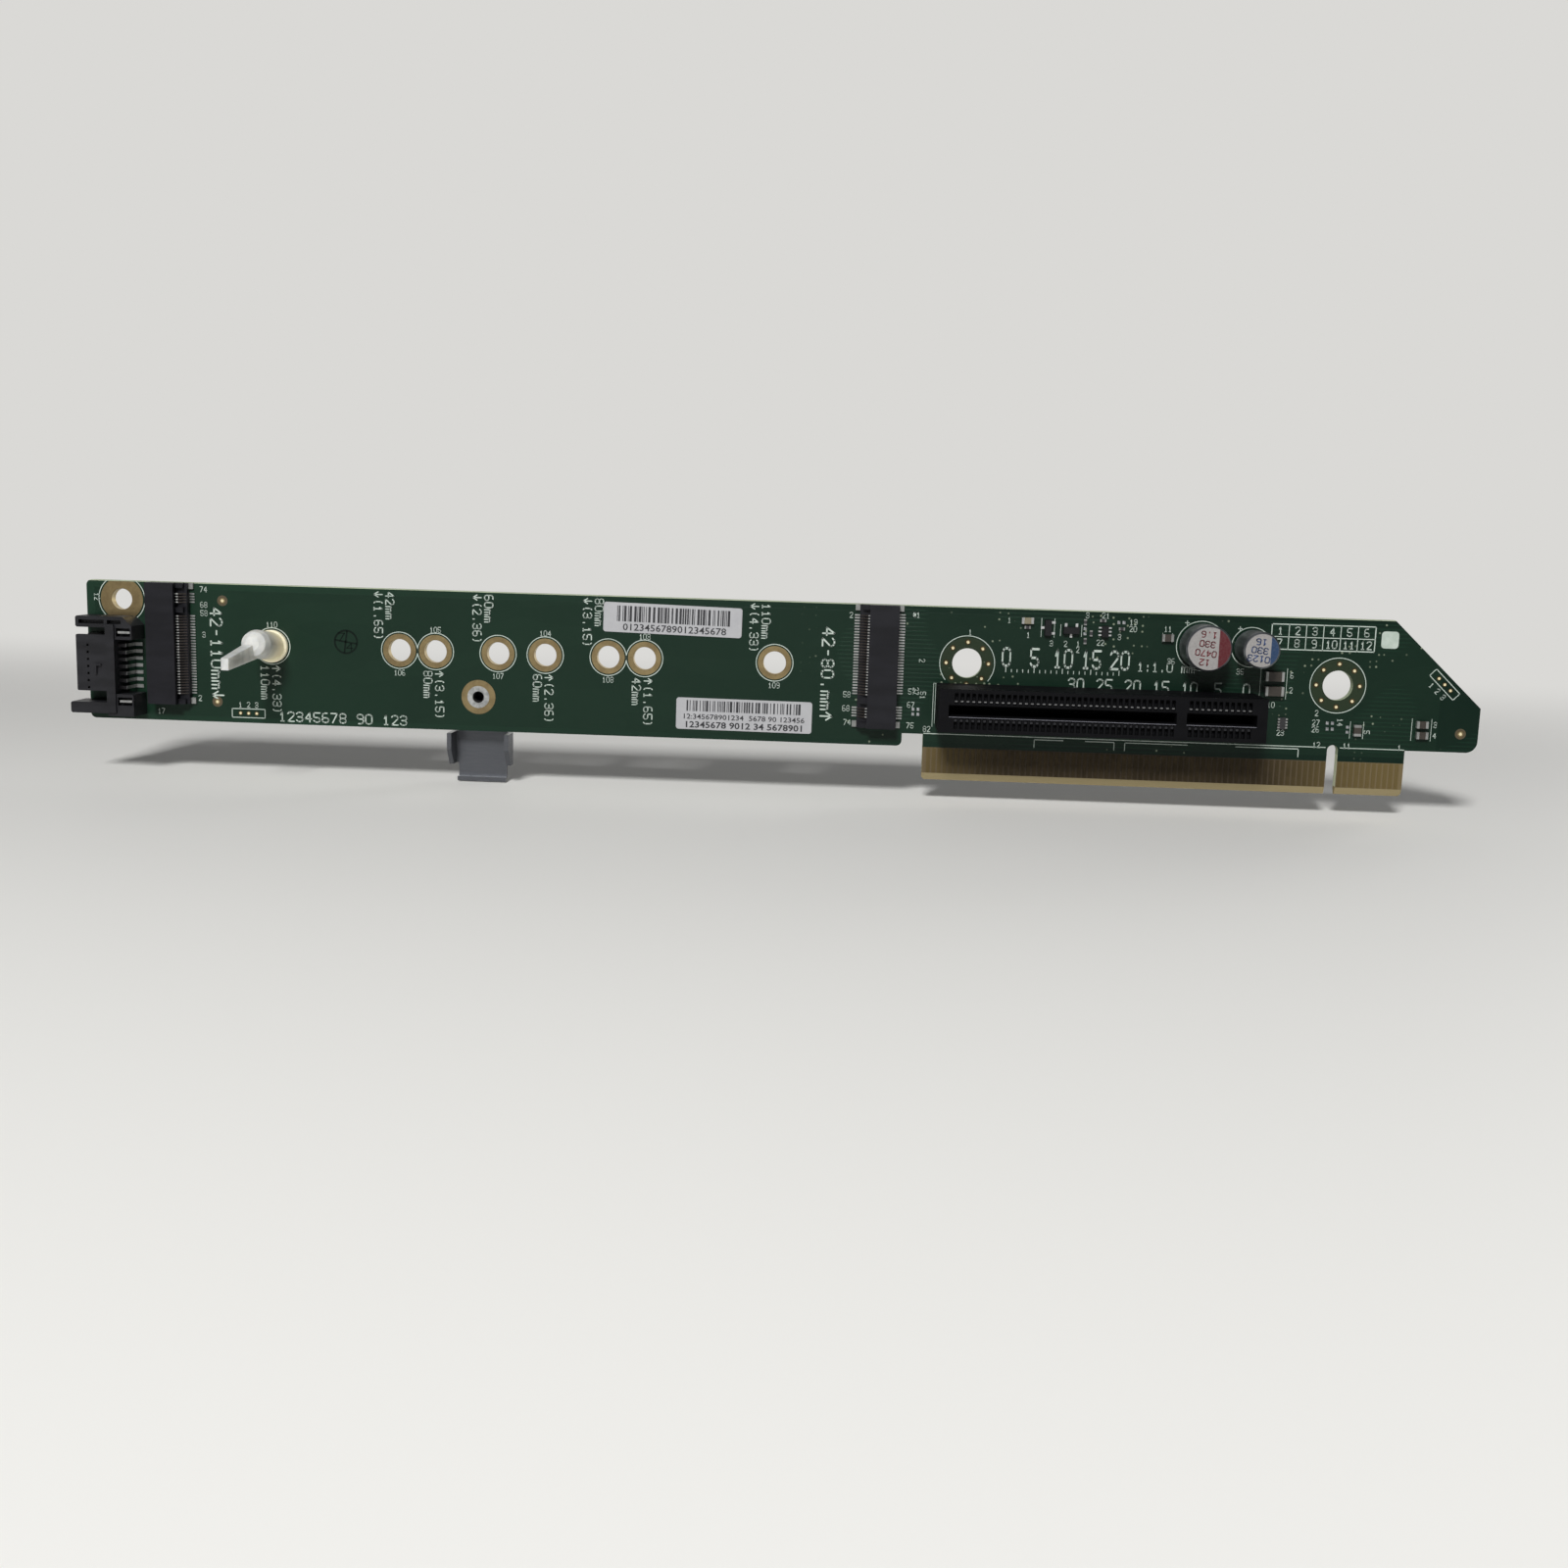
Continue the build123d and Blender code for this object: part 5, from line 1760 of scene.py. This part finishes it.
# ---------------------------------------------------------------- studio
@dataclass
class Studio:
    """Pale sweep, soft lamps and the camera."""

    floor_gap: float = 0.0002
    width: float = 6.0
    front_run: float = 1.5
    back_run: float = 2.2
    wall: float = 2.5
    bend: float = 0.9
    far: tuple[float, float] = (60.0, 320.0)
    far_colour: str = "#dad9d6"
    paper: tuple[str, str] = ("#f0efeb", "#eae9e5")
    sky: tuple[float, float, float, float] = (0.93, 0.95, 1.0, 1.0)
    sky_strength: float = 0.07
    viewpoint: tuple[float, float, float] = (-0.084456, -0.290205, 0.0439)
    right: tuple[float, float, float] = (0.99838, 0.04891, 0.02921)
    down: tuple[float, float, float] = (0.03644, -0.1542, -0.98737)
    lens: float = 37.163

    def backdrop(self) -> None:
        """A floor that bends up into a wall behind the card."""
        Bench.clear()
        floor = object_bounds()[0][2] - self.floor_gap
        bpy.ops.mesh.primitive_plane_add(size=1)
        sweep = bpy.context.object
        sweep.scale = (self.width, self.front_run + self.back_run, 1)
        sweep.location = (-0.1, (self.back_run - self.front_run) / 2, floor)
        bpy.ops.object.transform_apply(location=True, rotation=True, scale=True)
        Bench.pick(sweep, "EDGE", lambda place, way: place.y > self.back_run - 0.01)
        bpy.ops.mesh.extrude_region_move(TRANSFORM_OT_translate={"value": (0, 0, self.wall)})

        def at_foot(place: Vector, way: Vector) -> bool:
            """Whether an edge is the foot of the wall."""
            return place.y > self.back_run - 0.01 and place.z < floor + 0.01 and abs(way.x) > 0.9

        Bench.pick(sweep, "EDGE", at_foot)
        bpy.ops.mesh.bevel(offset=self.bend, segments=24)
        Bench.clear()
        sweep.select_set(True)
        bpy.ops.object.shade_smooth()
        sweep.name = "backdrop"
        g = Graph("backdrop_paper")
        place = g.position()
        _, away, _ = g.parts(place)
        colour = g.mix(g.noise(place, 0.002, 2.0), *map(paint, self.paper))
        rough = g.noise(place, 0.8, 3.0) * 0.1 + 0.6
        paper = g.node("ShaderNodeBsdfPrincipled", None, {"Base Color": colour, "Roughness": rough})
        glow = g.node("ShaderNodeEmission", None, {"Color": paint(self.far_colour), "Strength": 1.0})
        kinds = ("Camera", "Glossy", "Transmission")
        seen = [g.node("ShaderNodeLightPath", output=f"Is {kind} Ray") for kind in kinds]
        far = (seen[0] | seen[1] | seen[2]) * away.beyond(*self.far)
        sweep.data.materials.append(g.close(g.node("ShaderNodeMixShader", None, {0: far, 1: paper, 2: glow})))
        sweep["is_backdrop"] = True

    def lamp(
        self, name: str, place: Sequence[float], aim: Sequence[float], size: float, power: float
    ) -> None:
        """A square soft lamp.

        Args:
            name: its name.
            place: where it is, in metres.
            aim: the point that it faces.
            size: length of its sides.
            power: watts.
        """
        bpy.ops.object.light_add(type="AREA", location=place)
        lamp = bpy.context.object
        lamp.name = name
        lamp.data.size = size
        lamp.data.energy = power
        lamp.rotation_euler = (Vector(aim) - Vector(place)).to_track_quat("-Z", "Y").to_euler()

    def light(self) -> None:
        """World and lamps."""
        world = bpy.data.worlds.new("soft_room")
        bpy.context.scene.world = world
        world.use_nodes = True
        background = world.node_tree.nodes["Background"]
        background.inputs["Color"].default_value = self.sky
        background.inputs["Strength"].default_value = self.sky_strength
        self.lamp("key", (-0.22, -0.8, 0.6), (-0.1, 0.0, 0.0), 0.2, 9.6)
        self.lamp("top", (-0.25, 0.05, 1.2), (-0.1, 0.0, 0.02), 0.8, 0.3)
        self.lamp("behind", (0.6, 0.7, 0.2), (-0.1, 0.0, 0.01), 0.3, 2.2)

    def camera(self) -> None:
        """Camera in front of the card, a little above it."""
        right = Vector(self.right)
        down = Vector(self.down)
        forward = right.cross(down)
        data = bpy.data.cameras.new("viewpoint")
        data.lens = self.lens
        data.sensor_width = 36.0
        data.clip_start = 0.01
        viewpoint = bpy.data.objects.new("viewpoint", data)
        axes = Matrix((right, -down, -forward)).transposed().to_4x4()
        viewpoint.matrix_world = Matrix.Translation(self.viewpoint) @ axes
        bpy.context.scene.collection.objects.link(viewpoint)
        bpy.context.scene.camera = viewpoint

    def build(self) -> None:
        """Set it all up."""
        self.backdrop()
        self.light()
        self.camera()
        bpy.context.scene.view_settings.view_transform = "Standard"


def dress_small_parts() -> None:
    """Finishes of the CAD nodes that need nothing added."""
    finishes = {
        "circuit_board": MASK,
        "edge_contacts_front": FINGERS,
        "edge_contacts_back": FINGERS,
        "slot_housing": HOUSING,
        "slot_contacts": SlotContacts(middle("slot_contacts").z).build(),
        "module_standoff": Nylon().build(),
        "support_bracket": SheetSteel().build(),
        "bracket_standoff": TurnedSteel().build(),
        "indicator_lens": LENS,
        "indicator_terminals": TIN,
        "transistor_bodies": CHIP,
        "transistor_leads": LEAD,
        "logic_chip_body": CHIP,
        "logic_chip_leads": LEAD,
        "ceramic_capacitor_bodies": CERAMIC,
        "ceramic_capacitor_terminals": DULL_TIN,
        "resistor_array_body": FILM,
        "resistor_array_terminals": DULL_TIN,
        "chip_resistor_bodies": FILM,
        "chip_resistor_terminals": DULL_TIN,
    }
    for node, material in finishes.items():
        Bench.dress(node, material)


def main() -> None:
    """Build the dressed card in order, then the studio."""
    dress_small_parts()
    PlatedCopper().build()
    BoardPrint().build()
    ModuleSocket("right", Mouth.LEFT).build()
    ModuleSocket("left", Mouth.RIGHT).build()
    SolderSide().build()
    DataSocketMark().build()
    Can("large", RED_INK, "#541019", 0.40, ("12", "0470", "330", "1.6"), (1.0, 0.95), 1.6).build()
    Can("small", BLUE_INK, "#1d395b", 0.47, ("0123", "330", "16"), (1.0, 1.0), 1.45).build()
    upper = [("0123456789012345678", 1.25, 18.6, 0.012, -1.65)]
    lower = [
        ("12:345678901234  5678 90 123456", 0.95, 21.8, 0.012, -0.5),
        ("12345678 9012 34 5678901", 1.15, 21.0, 0.022, -1.95),
    ]
    Label("upper_label", -1.1, (-10.0, 10.8, -0.7, 2.1), upper, 3).build()
    Label("lower_label", -0.3, (-10.4, 10.5, 0.45, 2.4), lower, 5).build()
    Studio().build()


if __name__ == "__main__":
    main()
